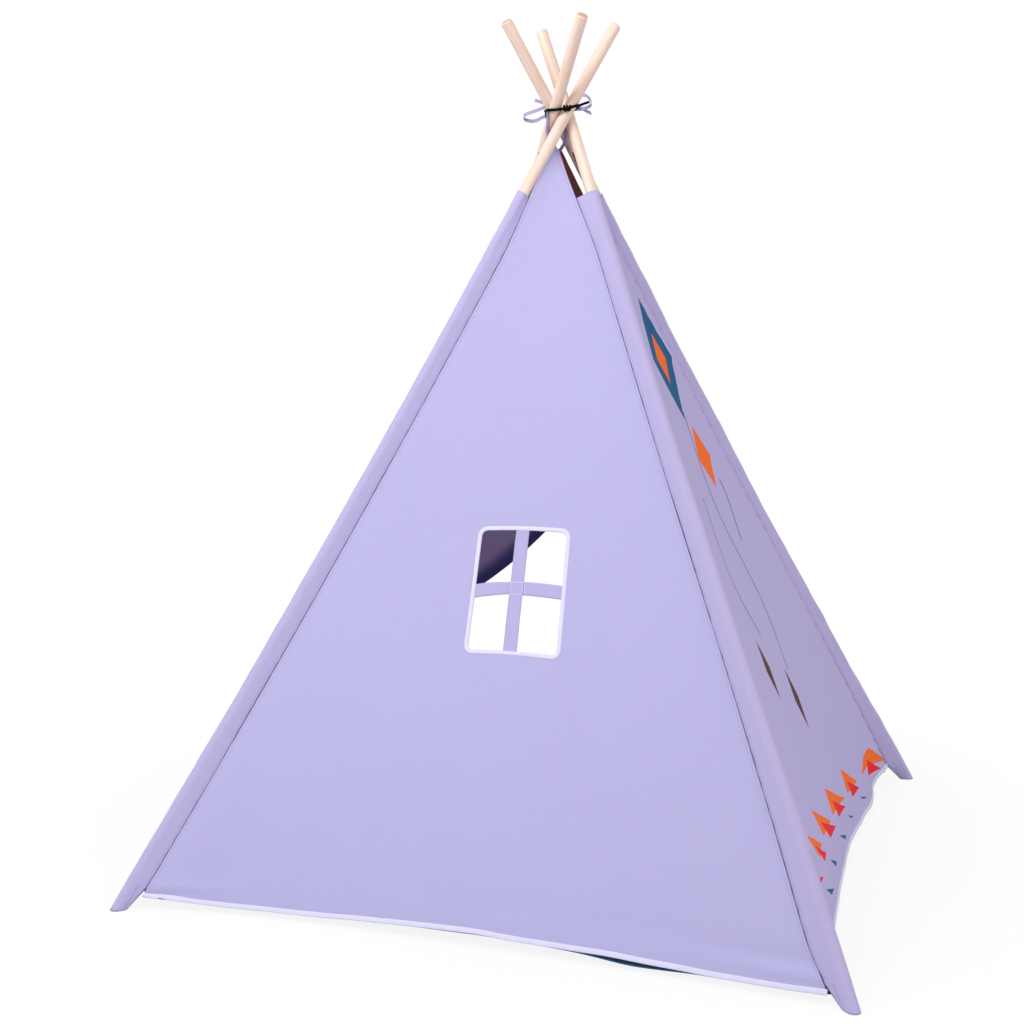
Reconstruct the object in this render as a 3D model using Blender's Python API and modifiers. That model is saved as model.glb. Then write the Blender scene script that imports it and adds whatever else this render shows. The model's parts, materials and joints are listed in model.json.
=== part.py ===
# A kids' teepee: four jointed wooden poles crossed and lashed at the top, a sewn cover of four
# walls with a sleeve at each corner, a window, a curtained door, a floor sheet and the ties at
# the top. Metres, +Z up, the origin on the floor under the crossing. The window side faces -Y,
# the door side +Y, the printed side wall +X.

import math

import bmesh
import bpy
from mathutils import Matrix, Vector

# Overall size
BASE_WIDTH = 1.200  # between pole feet along X, on the window and door sides
BASE_DEPTH = 1.090  # between pole feet along Y
CROSSING_HEIGHT = 1.310  # where the poles pass each other
POLE_RISE = 0.185  # the poles' length past the crossing

# Poles
POLE_DIAMETER = 0.020
POLE_SECTIONS = 3
POLE_BOW = 0.0145  # how far the cover pulls a jointed pole inward halfway up to the crossing
BOW_RINGS = 4  # rings along a section
SECTION_GAP = 0.0004  # between two section ends inside a ferrule
TIP_ROUNDING = 0.0045
END_CHAMFER = 0.0008
ROUND_STEPS = 16
TIP_POINTS = 5
FERRULE_LENGTH = 0.070
FERRULE_WALL = 0.0008
FERRULE_LIP = 0.0003

# Clearances
SEAT_GAP = 0.0003  # between pieces that touch
CLOTH_GAP = 0.0008  # between pieces sewn edge to edge
MERGE_DISTANCE = 0.00001

# Cloth
CLOTH = 0.0014  # a wall's or the floor's thickness
SLEEVE_CLOTH = 0.0012
SLEEVE_RADIUS_TOP = 0.0127  # the outer bend of a sleeve around its pole
SLEEVE_RADIUS_FOOT = 0.0145
SEAM_REACH_TOP = 0.0210  # from a pole's centre line to a wall's seam
SEAM_REACH_FOOT = 0.0285
SEAM_MARGIN = 0.0050  # the flat stitched edge inside a sleeve
SLEEVE_TOP_DROP = 0.159  # from the crossing down the pole to a sleeve's mouth
SLEEVE_TOE_LENGTH = 0.045  # over which the cloth narrows to the pole's foot
SLEEVE_TOE_RADIUS = 0.0135
SLEEVE_TOE_REACH = 0.0180
SLEEVE_LEVELS = 8
SLEEVE_ARC_POINTS = 9
CUT_OVERRUN = 0.010

# Walls
HEM_RISE = 0.037  # a wall's lower edge above its hem, measured up the pole from the floor
HEM_WIDTH = 0.009
HEM_CLOTH = 0.0030
APEX_HALF_WIDTH = 0.004
WALL_COLUMNS = 16
WALL_ROWS = 16

# Each wall's inward belly halfway up, its inward draw at the hem, and the ripple along the hem
WINDOW_BELLY = 0.010
WINDOW_HEM_DRAW = 0.030
WINDOW_RIPPLE = 0.003
WINDOW_SKEW_SHARE = 0.6  # how much more of that draw lies at the wall's left
WINDOW_HEM_TILT = 0.006  # its hem's left end is this much higher than the middle, its right end lower
SIDE_BELLY = 0.022
SIDE_HEM_DRAW = 0.056
SIDE_RIPPLE = 0.008
DOOR_BELLY = 0.012
HEM_DRAW_SHARE = 6  # how fast the draw at the hem dies out up the wall, as a power
RIPPLE_WAVES = 2.5
FOLD_DEPTH = 0.007  # the soft fold that runs beside the far sleeve
FOLD_PLACE_SHARE = 0.86
FOLD_WIDTH_SHARE = 0.09

# Window
WINDOW_WIDTH = 0.157
WINDOW_TALL = 0.211
WINDOW_OFFSET = 0.017  # from the wall's centre line
WINDOW_SILL = 0.465  # up the slope from the floor
WINDOW_CORNER = 0.016
CORNER_POINTS = 5
BINDING_WIDTH = 0.007
BINDING_CLOTH = 0.0034
STRAP_WIDTH = 0.022
STRAP_CLOTH = 0.0012
STRAP_UPRIGHT_OFFSET = -0.002  # from the window's centre
STRAP_ROWS = 8

# Door
SLIT_TOP = 0.660  # heights above the floor
TIE_HEIGHT = 0.300
DRAPE_SHARE = 1.25  # the power that bends the curtains' free edge
DOOR_COLUMN_SHARE = 0.9  # the powers that space the door wall's columns and rows
DOOR_ROW_SHARE = 1.3
DRAPE_DEPTH = 0.013
DRAPE_REACH = 0.330
DRAPE_FOLDS = 3.5
DOOR_COLUMNS = 26
DOOR_ROWS = 13
TAIL_GAP = 0.0032  # between a tail and the cloth above its tie
TAIL_NECK = 0.046
TAIL_FOOT = 0.118
TAIL_PLEAT_NECK = 0.008
TAIL_PLEAT_FOOT = 0.016
TAIL_PLEATS = 2.5
TAIL_SPREAD_SHARE = 0.7  # the power by which a tail widens below its tie
TAIL_FLAT_SHARE = 0.25  # of its width, from the seam, before the first pleat
TAIL_COLUMNS = 20
TAIL_ROWS = 7
TIE_BAND_WIDTH = 0.022
TIE_BAND_CLOTH = 0.0014
TIE_BAND_REACH = 0.054
TIE_BAND_START = 0.0020  # from the seam
TIE_BAND_HALF_DEPTH = 0.0165
TIE_BAND_POINTS = 16

# Floor sheet
FLOOR_SEAM_DROP = 0.0018  # its edge below the middle of a hem's lower edge
FLOOR_TURN_UP = 0.090  # over which it climbs to the hems
FLOOR_TURN_SHARES = ((0.0, 1.0), (0.03, 0.88), (0.5, 0.25), (1.0, 0.0))  # drawn in, and climbed
SILL_RISE = 0.014  # the floor's edge across the doorway
SILL_SPAN_SHARE = 0.985

# Lashing and ribbons
CORD_DIAMETER = 0.0040
CORD_RISE = 0.010  # above the crossing
CORD_SLANT_SHARE = 0.2  # how far it climbs to the right, as a share of the way across
CORD_CLEARANCE = 0.0006
CORD_POINTS = 40
KNOT_RADIUS = 0.0055
KNOT_LENGTH = 0.0085
RIBBON_WIDTH = 0.0100
RIBBON_CLOTH = 0.0008
BOW_KNOT_WIDTH = 0.0080  # half sizes
BOW_KNOT_DEPTH = 0.0048
BOW_KNOT_HEIGHT = 0.0060
BOW_WAY = (-0.25, 0.75, 0.6)  # the direction across the ribbon
# The bow's loops and tails, from the middle of its knot
BOW_ROUTES = {
    "left_loop": (
        (0.000, 0.000, 0.001),
        (-0.028, 0.003, 0.006),
        (-0.056, -0.014, 0.002),
        (-0.066, -0.026, -0.010),
        (-0.056, -0.020, -0.020),
        (-0.030, 0.006, -0.010),
        (0.000, 0.001, -0.002),
    ),
    "right_loop": (
        (0.000, 0.000, 0.001),
        (0.024, 0.003, 0.016),
        (0.046, 0.000, 0.023),
        (0.056, -0.004, 0.016),
        (0.050, -0.002, 0.004),
        (0.030, 0.005, -0.003),
        (0.000, 0.001, -0.002),
    ),
    "left_tail": ((0.000, 0.000, 0.002), (-0.026, 0.004, 0.015), (-0.046, -0.008, 0.027)),
    "right_tail": ((0.000, 0.002, -0.002), (0.026, 0.010, -0.012), (0.054, 0.004, -0.014)),
}

RIBBON_STEPS = 14
# Each tape's route: beside the wall's centre line, out from the crossing, and the share of its climb
TAPE_ROUTE = (
    (-0.0060, 0.0170, 0.20),
    (-0.0156, 0.0152, 0.42),
    (-0.0240, 0.0255, 0.66),
    (-0.0190, 0.0240, 1.00),
)

TAPE_TURN_SHARE = 0.4  # how far a tape's upper end turns back along its wall

CORNERS = {
    "window_left": (-1, -1),
    "window_right": (1, -1),
    "door_right": (1, 1),
    "door_left": (-1, 1),
}
# Each wall's left and right corner, seen from outside
WALLS = {
    "window": ("window_left", "window_right"),
    "right": ("window_right", "door_right"),
    "door": ("door_right", "door_left"),
    "left": ("door_left", "window_left"),
}
UP = Vector((0, 0, 1))

FOOT_REACH = math.hypot(BASE_WIDTH, BASE_DEPTH) / 2
TILT = math.atan2(FOOT_REACH, CROSSING_HEIGHT)
FOOT_TO_CROSSING = math.hypot(FOOT_REACH, CROSSING_HEIGHT)
POLE_RADIUS = POLE_DIAMETER / 2
SLEEVE_TOP = FOOT_TO_CROSSING - SLEEVE_TOP_DROP


def outward(corner):
    """The level direction from the middle of the floor to a corner."""
    x_side, y_side = CORNERS[corner]
    return Vector((x_side * BASE_WIDTH, y_side * BASE_DEPTH, 0)).normalized()


def sideways(corner):
    """The level direction, square to outward, in which a pole misses the centre."""
    return UP.cross(outward(corner))


def pole_axis(corner):
    """The direction of a pole from its foot to its tip."""
    return UP * math.cos(TILT) - outward(corner) * math.sin(TILT)


def spacing_share(first, second):
    """How far apart two poles pass for each unit that both miss the centre by."""
    normal = pole_axis(first).cross(pole_axis(second)).normalized()
    return abs((sideways(first) - sideways(second)).dot(normal))


# Each pole misses the centre by this much, so that the closest neighbours just touch.
POLE_MISS = (POLE_DIAMETER + SEAT_GAP) / min(spacing_share(*pair) for pair in WALLS.values())


def pivot(corner):
    """Where a pole turns in the lashing."""
    return sideways(corner) * POLE_MISS + UP * CROSSING_HEIGHT


def bow(along):
    """How far inward of straight a pole runs, this far up from the floor."""
    share = min(max(along / FOOT_TO_CROSSING, 0.0), 1.0)
    return POLE_BOW * 4 * share * (1 - share)


def pole_point(corner, along):
    """A point on a pole's centre line, measured up from the floor."""
    straight = pivot(corner) + pole_axis(corner) * (along - FOOT_TO_CROSSING)
    return straight - outward(corner) * bow(along)


def wall_edge(wall):
    """The level direction along a wall's foot, from its left to its right seen from outside."""
    x_left, y_left = CORNERS[WALLS[wall][0]]
    x_right, y_right = CORNERS[WALLS[wall][1]]
    return Vector((x_right - x_left, y_right - y_left, 0)).normalized()


def wall_slope(wall):
    """The direction straight up a wall."""
    inward = UP.cross(wall_edge(wall))
    half = BASE_DEPTH / 2 if abs(wall_edge(wall).x) > abs(wall_edge(wall).y) else BASE_WIDTH / 2
    return (UP * CROSSING_HEIGHT + inward * half).normalized()


def wall_normal(wall):
    return wall_edge(wall).cross(wall_slope(wall))


def seam_direction(corner, wall):
    """Square to the pole, from its centre line towards the wall's seam."""
    edge = wall_edge(wall) if WALLS[wall][0] == corner else -wall_edge(wall)
    axis = pole_axis(corner)
    return (edge - axis * edge.dot(axis)).normalized()


def blend(low, high, share):
    return low + (high - low) * share


def seam_reach(along):
    return blend(SEAM_REACH_FOOT, SEAM_REACH_TOP, along / FOOT_TO_CROSSING)


def seam_point(corner, wall, along, extra=0.0):
    return pole_point(corner, along) + seam_direction(corner, wall) * (seam_reach(along) + extra)


def wall_span(wall, along):
    """The middle of a wall at this distance up the poles, and half its way across."""
    left = seam_point(WALLS[wall][0], wall, along, CLOTH_GAP)
    right = seam_point(WALLS[wall][1], wall, along, CLOTH_GAP)
    return (left + right) / 2, (right - left) / 2


def apex_along(wall):
    """The distance up the poles at which a wall has narrowed to its top edge."""
    low, high = 0.0, FOOT_TO_CROSSING
    span_low = wall_span(wall, low)[1].dot(wall_edge(wall))
    span_high = wall_span(wall, high)[1].dot(wall_edge(wall))
    share = (span_low - APEX_HALF_WIDTH) / (span_low - span_high)
    return blend(low, high, share)


WALL_FORM = {
    "window": (WINDOW_BELLY, WINDOW_HEM_DRAW, WINDOW_SKEW_SHARE, WINDOW_RIPPLE, 0.0),
    "right": (SIDE_BELLY, SIDE_HEM_DRAW, 0.0, SIDE_RIPPLE, FOLD_DEPTH),
    "door": (DOOR_BELLY, 0.0, 0.0, 0.0, 0.0),
    "left": (SIDE_BELLY, SIDE_HEM_DRAW, 0.0, SIDE_RIPPLE, FOLD_DEPTH),
}


def hem_rise(wall, across):
    """The distance up the poles at which a wall's cloth ends: the window wall hangs a little askew."""
    return HEM_RISE - (WINDOW_HEM_TILT * across if wall == "window" else 0.0)


def sag(wall, across, along):
    """How far a wall hangs inside its flat shape: its belly, the draw and ripple at its hem, and a fold."""
    belly, draw, skew, ripple, fold = WALL_FORM[wall]
    top = apex_along(wall)
    share = min((along - HEM_RISE) / (top - HEM_RISE), 1.0)
    low = (1 - share) ** HEM_DRAW_SHARE
    inside = belly * 4 * share * (1 - share) * (1 - across**2)
    inside += draw * low * (1 - across**4) * (1 - skew * across)
    inside += ripple * low * math.sin(math.tau * RIPPLE_WAVES * across) * (1 - across**4)
    crease = math.exp(-(((across - FOLD_PLACE_SHARE) / FOLD_WIDTH_SHARE) ** 2))
    return inside + fold * crease * share * (1 - share) * 4 * (1 - across**2)


def wall_point(wall, across, along, lift=0.0):
    """A point of a wall: across runs from -1 to 1, along is the distance up the poles."""
    middle, half = wall_span(wall, along)
    inward = UP.cross(wall_edge(wall))
    return middle + half * across + wall_normal(wall) * lift + inward * sag(wall, across, along)


def spread(across):
    """Closer columns near a wall's seams than at its middle."""
    return math.sin(across * math.pi / 2)


def wall_spot(wall, beside, rise, lift=0.0):
    """A point of a wall by its distance beside the centre line and up the slope from the floor."""
    slope_length = CROSSING_HEIGHT / wall_slope(wall).z
    along = rise * FOOT_TO_CROSSING / slope_length
    half = wall_span(wall, along)[1].dot(wall_edge(wall))
    return wall_point(wall, beside / half, along, lift)


# Building helpers


def material(name, colour, roughness, metallic=0.0):
    made = bpy.data.materials.new(name)
    made.use_nodes = True
    shader = made.node_tree.nodes["Principled BSDF"]
    linear = [(c / 255 / 12.92) if c < 11 else ((c / 255 + 0.055) / 1.055) ** 2.4 for c in colour]
    shader.inputs["Base Color"].default_value = (*linear, 1)
    shader.inputs["Roughness"].default_value = roughness
    shader.inputs["Metallic"].default_value = metallic
    return made


def add_object(name, mesh, finish=None, parent=None):
    """Puts a mesh in the model, or a guide or cutter among the cutters when it has no finish."""
    made = bpy.data.objects.new(name, mesh)
    if finish:
        model.objects.link(made)
        mesh.materials.append(finish)
    else:
        cutters.objects.link(made)
        made.hide_render = True
        made.display_type = "WIRE"
    if parent:
        made.parent = parent
    return made


def mesh_from(name, work):
    bmesh.ops.recalc_face_normals(work, faces=work.faces)
    mesh = bpy.data.meshes.new(name)
    work.to_mesh(mesh)
    work.free()
    return mesh


def empty(name, place):
    made = bpy.data.objects.new(name, None)
    made.matrix_world = place
    model.objects.link(made)
    return made


def solidify(made, thickness):
    skin = made.modifiers.new("thickness", "SOLIDIFY")
    skin.thickness = thickness
    skin.offset = 0
    return made


def cut(made, cutter, operation="DIFFERENCE"):
    step = made.modifiers.new(operation.lower(), "BOOLEAN")
    step.operation = operation
    step.object = cutter
    step.solver = "EXACT"


def sheet(name, columns, rows, place, thickness, finish=None, origin=None):
    """A grid bent by place(across, up), both from -1 to 1, and given its thickness."""
    work = bmesh.new()
    bmesh.ops.create_grid(work, x_segments=columns, y_segments=rows, size=1)
    base = origin.matrix_world.translation if origin else Vector()
    for corner in work.verts:
        corner.co = place(corner.co.x, corner.co.y) - base
    return solidify(add_object(name, mesh_from(name, work), finish, origin), thickness)


def loft(name, rings, finish=None, origin=None, closed=False):
    """Skins a row of closed outlines; closed joins the last to the first, else both ends are capped."""
    work = bmesh.new()
    base = origin.matrix_world.inverted() if origin else Matrix()
    loops = [[work.verts.new(base @ point) for point in ring] for ring in rings]
    pairs = list(zip(loops, loops[1:] + loops[:1])) if closed else list(zip(loops, loops[1:]))
    for low, high in pairs:
        for i in range(len(low)):
            j = (i + 1) % len(low)
            work.faces.new((low[i], low[j], high[j], high[i]))
    if not closed:
        work.faces.new(reversed(loops[0]))
        work.faces.new(loops[-1])
    return add_object(name, mesh_from(name, work), finish, origin)


def turned(name, profile, finish, parent, closed=False):
    """A profile of (radius, height) points turned round the parent's Z axis."""
    work = bmesh.new()
    points = [work.verts.new((radius, 0, height)) for radius, height in profile]
    for first, second in zip(points, points[1:]):
        work.edges.new((first, second))
    if closed:
        work.edges.new((points[-1], points[0]))
    mesh = bpy.data.meshes.new(name)
    work.to_mesh(mesh)
    work.free()
    made = add_object(name, mesh, finish, parent)
    turn = made.modifiers.new("turn", "SCREW")
    turn.steps = ROUND_STEPS
    turn.render_steps = ROUND_STEPS
    turn.use_merge_vertices = True
    turn.merge_threshold = MERGE_DISTANCE
    turn.use_smooth_shade = True
    return made


# Poles and ferrules


def rounded_end(high, rounding, points):
    """The outline of a pole's round-edged end, from its flat to its side."""
    outline = []
    for i in range(points):
        angle = math.radians(90) * (1 - i / (points - 1))
        radius = POLE_RADIUS - rounding + rounding * math.cos(angle)
        outline.append((radius, high - rounding + rounding * math.sin(angle)))
    return outline


def section_profile(low, high, is_tip):
    """Half the outline of a pole section, from its top centre down its side."""
    top = rounded_end(high, TIP_ROUNDING, TIP_POINTS) if is_tip else rounded_end(high, END_CHAMFER, 2)
    heights = [blend(low, high, i / BOW_RINGS) for i in range(1, BOW_RINGS)]
    if is_tip:
        heights.append(0)
    side = [(POLE_RADIUS, height) for height in sorted(heights, reverse=True)]
    foot = [(POLE_RADIUS, low + END_CHAMFER), (POLE_RADIUS - END_CHAMFER, low)]
    return [(0, high)] + top + side + foot + [(0, low)]


def ferrule_profile(middle):
    """The cut through a ferrule's wall, with its rolled ends."""
    inner = POLE_RADIUS + SEAT_GAP
    outer = inner + FERRULE_WALL
    low, high = middle - FERRULE_LENGTH / 2, middle + FERRULE_LENGTH / 2
    roll = FERRULE_WALL * 2
    return [
        (inner, high),
        (outer + FERRULE_LIP, high),
        (outer + FERRULE_LIP, high - roll),
        (outer, high - roll * 2),
        (outer, low + roll * 2),
        (outer + FERRULE_LIP, low + roll),
        (outer + FERRULE_LIP, low),
        (inner, low),
    ]


def bend(made):
    """Turns the profile into a mesh and bends it with its pole."""
    bpy.context.view_layer.update()
    mesh = bpy.data.meshes.new_from_object(
        made.evaluated_get(bpy.context.evaluated_depsgraph_get())
    )
    made.modifiers.clear()
    made.data = mesh
    inward = Vector((-math.cos(TILT), 0, math.sin(TILT)))
    for corner in mesh.vertices:
        corner.co += inward * bow(corner.co.z + FOOT_TO_CROSSING)


def build_pole(corner):
    """One pole in its sections, with a ferrule over each joint, hung from its pivot."""
    axis = pole_axis(corner)
    side = sideways(corner)
    turn = Matrix((side.cross(axis), side, axis)).transposed().to_4x4()
    hub = empty(f"pivot_{corner}", Matrix.Translation(pivot(corner)) @ turn)
    foot_end = (SLEEVE_CLOTH + SEAT_GAP + POLE_RADIUS * math.sin(TILT)) / math.cos(TILT)
    top_end = FOOT_TO_CROSSING + POLE_RISE
    length = (top_end - foot_end) / POLE_SECTIONS
    names = ("lower", "middle", "upper")
    for number, part in enumerate(names):
        low = foot_end + length * number - FOOT_TO_CROSSING
        high = low + length
        if number < POLE_SECTIONS - 1:
            ferrule = turned(
                f"ferrule_{corner}_{('lower', 'upper')[number]}",
                ferrule_profile(high),
                steel,
                hub,
                closed=True,
            )
            ferrule.data.shade_smooth()
            bend(ferrule)
            high -= SECTION_GAP
        is_tip = number == POLE_SECTIONS - 1
        bend(turned(f"pole_{corner}_{part}", section_profile(low, high, is_tip), wood, hub))
    return hub


# Sleeves


def sleeve_ring(corner, along, radius, reach, on_floor=None):
    """A sleeve's outline round its pole: bent round the pole outside, meeting both walls' seams."""
    axis = pole_axis(corner)
    side = sideways(corner)
    out = side.cross(axis)
    to_seams = []
    for wall, ends in WALLS.items():
        if corner in ends:
            direction = seam_direction(corner, wall)
            to_seams.append((math.atan2(direction.dot(side), direction.dot(out)), direction))
    to_seams.sort(key=lambda item: item[0])
    (low_angle, low_seam), (high_angle, high_seam) = to_seams
    slack = math.acos(radius / reach)
    start, stop = low_angle + slack, high_angle - slack
    flat = []
    for i in range(SLEEVE_ARC_POINTS):
        angle = blend(start, stop, i / (SLEEVE_ARC_POINTS - 1))
        flat.append((out * math.cos(angle) + side * math.sin(angle)) * radius)
    flat.append(high_seam * reach)
    flat.append((high_seam + low_seam) * (reach / 2))
    flat.append(low_seam * reach)
    ring = [pole_point(corner, along) + offset for offset in flat]
    if on_floor is not None:
        ring = [point - axis * ((point.z - on_floor) / axis.z) for point in ring]
    return ring


def build_sleeve(corner, hub):
    """The cloth tube sewn round a pole, open at its mouth, closed flat under the pole's foot."""
    wall = SLEEVE_CLOTH
    toe = [
        (SLEEVE_TOE_RADIUS, SLEEVE_TOE_REACH),
        (
            blend(SLEEVE_RADIUS_FOOT, SLEEVE_RADIUS_TOP, SLEEVE_TOE_LENGTH / FOOT_TO_CROSSING),
            seam_reach(SLEEVE_TOE_LENGTH),
        ),
    ]
    levels = [
        blend(SLEEVE_TOE_LENGTH, SLEEVE_TOP, i / SLEEVE_LEVELS) for i in range(1, SLEEVE_LEVELS + 1)
    ]
    outer = [sleeve_ring(corner, 0, *toe[0], on_floor=0)]
    inner = [sleeve_ring(corner, 0, toe[0][0] - wall, toe[0][1] - wall, on_floor=wall)]
    outer.append(sleeve_ring(corner, SLEEVE_TOE_LENGTH, *toe[1]))
    inner.append(
        sleeve_ring(corner, SLEEVE_TOE_LENGTH, toe[1][0] - wall, toe[1][1] - SEAM_MARGIN)
    )
    for along in levels:
        radius = blend(SLEEVE_RADIUS_FOOT, SLEEVE_RADIUS_TOP, along / FOOT_TO_CROSSING)
        outer.append(sleeve_ring(corner, along, radius, seam_reach(along)))
        inside = along + CUT_OVERRUN if along == levels[-1] else along
        inner.append(sleeve_ring(corner, inside, radius - wall, seam_reach(along) - SEAM_MARGIN))
    made = loft(f"sleeve_{corner}", outer, sleeve_cloth, hub)
    cut(made, loft(f"sleeve_bore_{corner}", inner))
    return made


# Walls


def build_wall(wall, hub):
    """A wall's cloth from its hem up to its apex."""
    top = apex_along(wall)

    def place(across, up):
        side = spread(across)
        return wall_point(wall, side, blend(hem_rise(wall, side), top, (up + 1) / 2))

    return sheet(f"{wall}_panel", WALL_COLUMNS, WALL_ROWS, place, CLOTH, wall_cloth, hub)


def build_hem(wall, hub):
    """The binding along a wall's lower edge."""

    def place(across, up):
        side = spread(across)
        top = hem_rise(wall, side) - CLOTH_GAP
        return wall_point(wall, side, blend(top - HEM_WIDTH, top, (up + 1) / 2))

    return sheet(f"hem_{wall}", WALL_COLUMNS, 1, place, HEM_CLOTH, binding_cloth, hub)


def rounded_outline(half_wide, half_tall, corner):
    """Points round a rectangle with round corners, as (beside, rise) from its centre."""
    points = []
    for quarter in range(4):
        turn = math.radians(90 * quarter)
        x_side = 1 if quarter in (0, 3) else -1
        y_side = 1 if quarter in (0, 1) else -1
        for i in range(CORNER_POINTS):
            angle = turn + math.radians(90) * i / (CORNER_POINTS - 1)
            points.append(
                (
                    x_side * (half_wide - corner) + corner * math.cos(angle),
                    y_side * (half_tall - corner) + corner * math.sin(angle),
                )
            )
    return points


def window_loop(inset, lift):
    """The window's outline on the wall, drawn in by inset and lifted off the cloth."""
    outline = rounded_outline(
        WINDOW_WIDTH / 2 - inset, WINDOW_TALL / 2 - inset, WINDOW_CORNER - inset
    )
    centre_rise = WINDOW_SILL + WINDOW_TALL / 2
    return [
        wall_spot("window", WINDOW_OFFSET + beside, centre_rise + rise, lift)
        for beside, rise in outline
    ]


def build_window(panel, hub):
    """Cuts the window in its wall and adds its binding and the two crossed straps."""
    hole = loft(
        "window_hole", [window_loop(0, -CUT_OVERRUN), window_loop(0, CUT_OVERRUN)]
    )
    cut(panel, hole)
    half = BINDING_CLOTH / 2
    rings = [
        window_loop(SEAT_GAP, -half),
        window_loop(SEAT_GAP, half),
        window_loop(BINDING_WIDTH, half),
        window_loop(BINDING_WIDTH, -half),
    ]
    loft("window_binding", rings, binding_cloth, hub, closed=True)
    reach_x = WINDOW_WIDTH / 2 - BINDING_WIDTH - SEAT_GAP
    reach_y = WINDOW_TALL / 2 - BINDING_WIDTH - SEAT_GAP
    centre_rise = WINDOW_SILL + WINDOW_TALL / 2
    layer = (STRAP_CLOTH + SEAT_GAP) / 2

    def upright(across, up):
        beside = WINDOW_OFFSET + STRAP_UPRIGHT_OFFSET + across * STRAP_WIDTH / 2
        return wall_spot("window", beside, centre_rise + up * reach_y, layer)

    def level(across, up):
        rise = centre_rise + up * STRAP_WIDTH / 2
        return wall_spot("window", WINDOW_OFFSET + across * reach_x, rise, -layer)

    sheet("window_strap_upright", 2, STRAP_ROWS, upright, STRAP_CLOTH, strap_cloth, hub)
    sheet("window_strap_level", STRAP_ROWS, 2, level, STRAP_CLOTH, strap_cloth, hub)


def to_along(height):
    return height / math.cos(TILT)


def door_edge(across):
    """The curtains' free edge: from the slit's top down to the tie at each sleeve."""
    share = 1 - (1 - abs(across)) ** DRAPE_SHARE
    return to_along(blend(SLIT_TOP, TIE_HEIGHT, share))


def drape(beside, height):
    """The folds that run from each tie-back up into the door wall."""
    half = wall_span("door", to_along(TIE_HEIGHT))[1].length
    reach = math.hypot(half - abs(beside), height - TIE_HEIGHT)
    angle = math.atan2(height - TIE_HEIGHT, half - abs(beside))
    fade = max(0.0, 1 - reach / DRAPE_REACH)
    near = min(1.0, reach / TAIL_NECK)
    return DRAPE_DEPTH * fade * near * math.sin(2 * DRAPE_FOLDS * angle)


def build_door(hub):
    """The door wall down to its curtains' free edge, and the band that ties each curtain back."""
    top = apex_along("door")

    def place(across, up):
        across = math.copysign(abs(across) ** DOOR_COLUMN_SHARE, across)
        along = blend(door_edge(across), top, ((up + 1) / 2) ** DOOR_ROW_SHARE)
        middle, half = wall_span("door", along)
        spot = wall_point("door", across, along)
        fold = drape(across * half.length, spot.z)
        return spot + wall_normal("door") * (fold * (1 - across**8))

    sheet("door_panel", DOOR_COLUMNS, DOOR_ROWS, place, CLOTH, wall_cloth, hub)
    for corner in WALLS["door"]:
        side = "left" if corner == "door_left" else "right"
        build_tie_band(f"tie_back_{side}", corner, hub)


def build_tie_band(name, corner, hub):
    """The cloth band round a gathered curtain, sewn down at both ends beside the sleeve's seam."""
    inward = wall_edge("door") if WALLS["door"][0] == corner else -wall_edge("door")
    normal = wall_normal("door")
    seat = (CLOTH + TIE_BAND_CLOTH) / 2 + SEAT_GAP
    sweep = math.pi - math.asin(seat / TIE_BAND_HALF_DEPTH)
    half_reach = TIE_BAND_REACH / 2

    def place(across, up):
        along = to_along(TIE_HEIGHT) + up * TIE_BAND_WIDTH / 2
        start = seam_point(corner, "door", along, TIE_BAND_START)
        turn = sweep * across
        beside = half_reach * (1 + math.cos(turn))
        return start + inward * beside + normal * (TIE_BAND_HALF_DEPTH * math.sin(turn))

    return sheet(name, TIE_BAND_POINTS, 1, place, TIE_BAND_CLOTH, strap_cloth, hub)


def build_curtain(side, corner, hub):
    """The gathered tail of a curtain below its tie, pleated, sewn along the sleeve's seam."""
    inward = wall_edge("door") if WALLS["door"][0] == corner else -wall_edge("door")
    normal = wall_normal("door")
    high = to_along(TIE_HEIGHT) - TAIL_GAP

    def place(across, up):
        share = (up + 1) / 2
        along = blend(HEM_RISE, high, share)
        start = seam_point(corner, "door", along, CLOTH_GAP)
        narrowed = share**TAIL_SPREAD_SHARE
        wide = blend(TAIL_FOOT, TAIL_NECK, narrowed)
        deep = blend(TAIL_PLEAT_FOOT, TAIL_PLEAT_NECK, narrowed)
        out = (across + 1) / 2
        wave = math.sin(math.tau * TAIL_PLEATS * out) * min(1.0, out / TAIL_FLAT_SHARE) ** 2
        return start + inward * (wide * out) + normal * (deep * wave)

    return sheet(f"curtain_{side}", TAIL_COLUMNS, TAIL_ROWS, place, CLOTH, wall_cloth, hub)


# Floor


def floor_edge_point(wall, across):
    """A point of the floor sheet's sewn edge: under a wall's hem, or low across the doorway."""
    spot = wall_point(wall, across, hem_rise(wall, across) - HEM_WIDTH)
    if wall == "door":
        return Vector((spot.x, spot.y, SILL_RISE))
    return spot - UP * FLOOR_SEAM_DROP


def build_floor(hub):
    """The floor sheet: flat on the ground inside, turned up at its edge to meet the hems."""
    edge = []
    for wall in WALLS:
        for i in range(1, WALL_COLUMNS):
            edge.append(floor_edge_point(wall, spread(2 * i / WALL_COLUMNS - 1)))
    rings = []
    for inset_share, lift_share in FLOOR_TURN_SHARES:
        ring = []
        for point in edge:
            level = Vector((point.x, point.y, 0))
            inset = level - level.normalized() * (FLOOR_TURN_UP * inset_share)
            height = blend(CLOTH / 2, point.z - CLOTH / 2, lift_share)
            ring.append(Vector((inset.x, inset.y, height)))
        rings.append(ring)
    under = [[point - UP * (CLOTH / 2) for point in ring] for ring in rings]
    over = [[point + UP * (CLOTH / 2) for point in ring] for ring in rings]
    loft("floor_sheet", over[::-1] + under, floor_cloth, hub)


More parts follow.
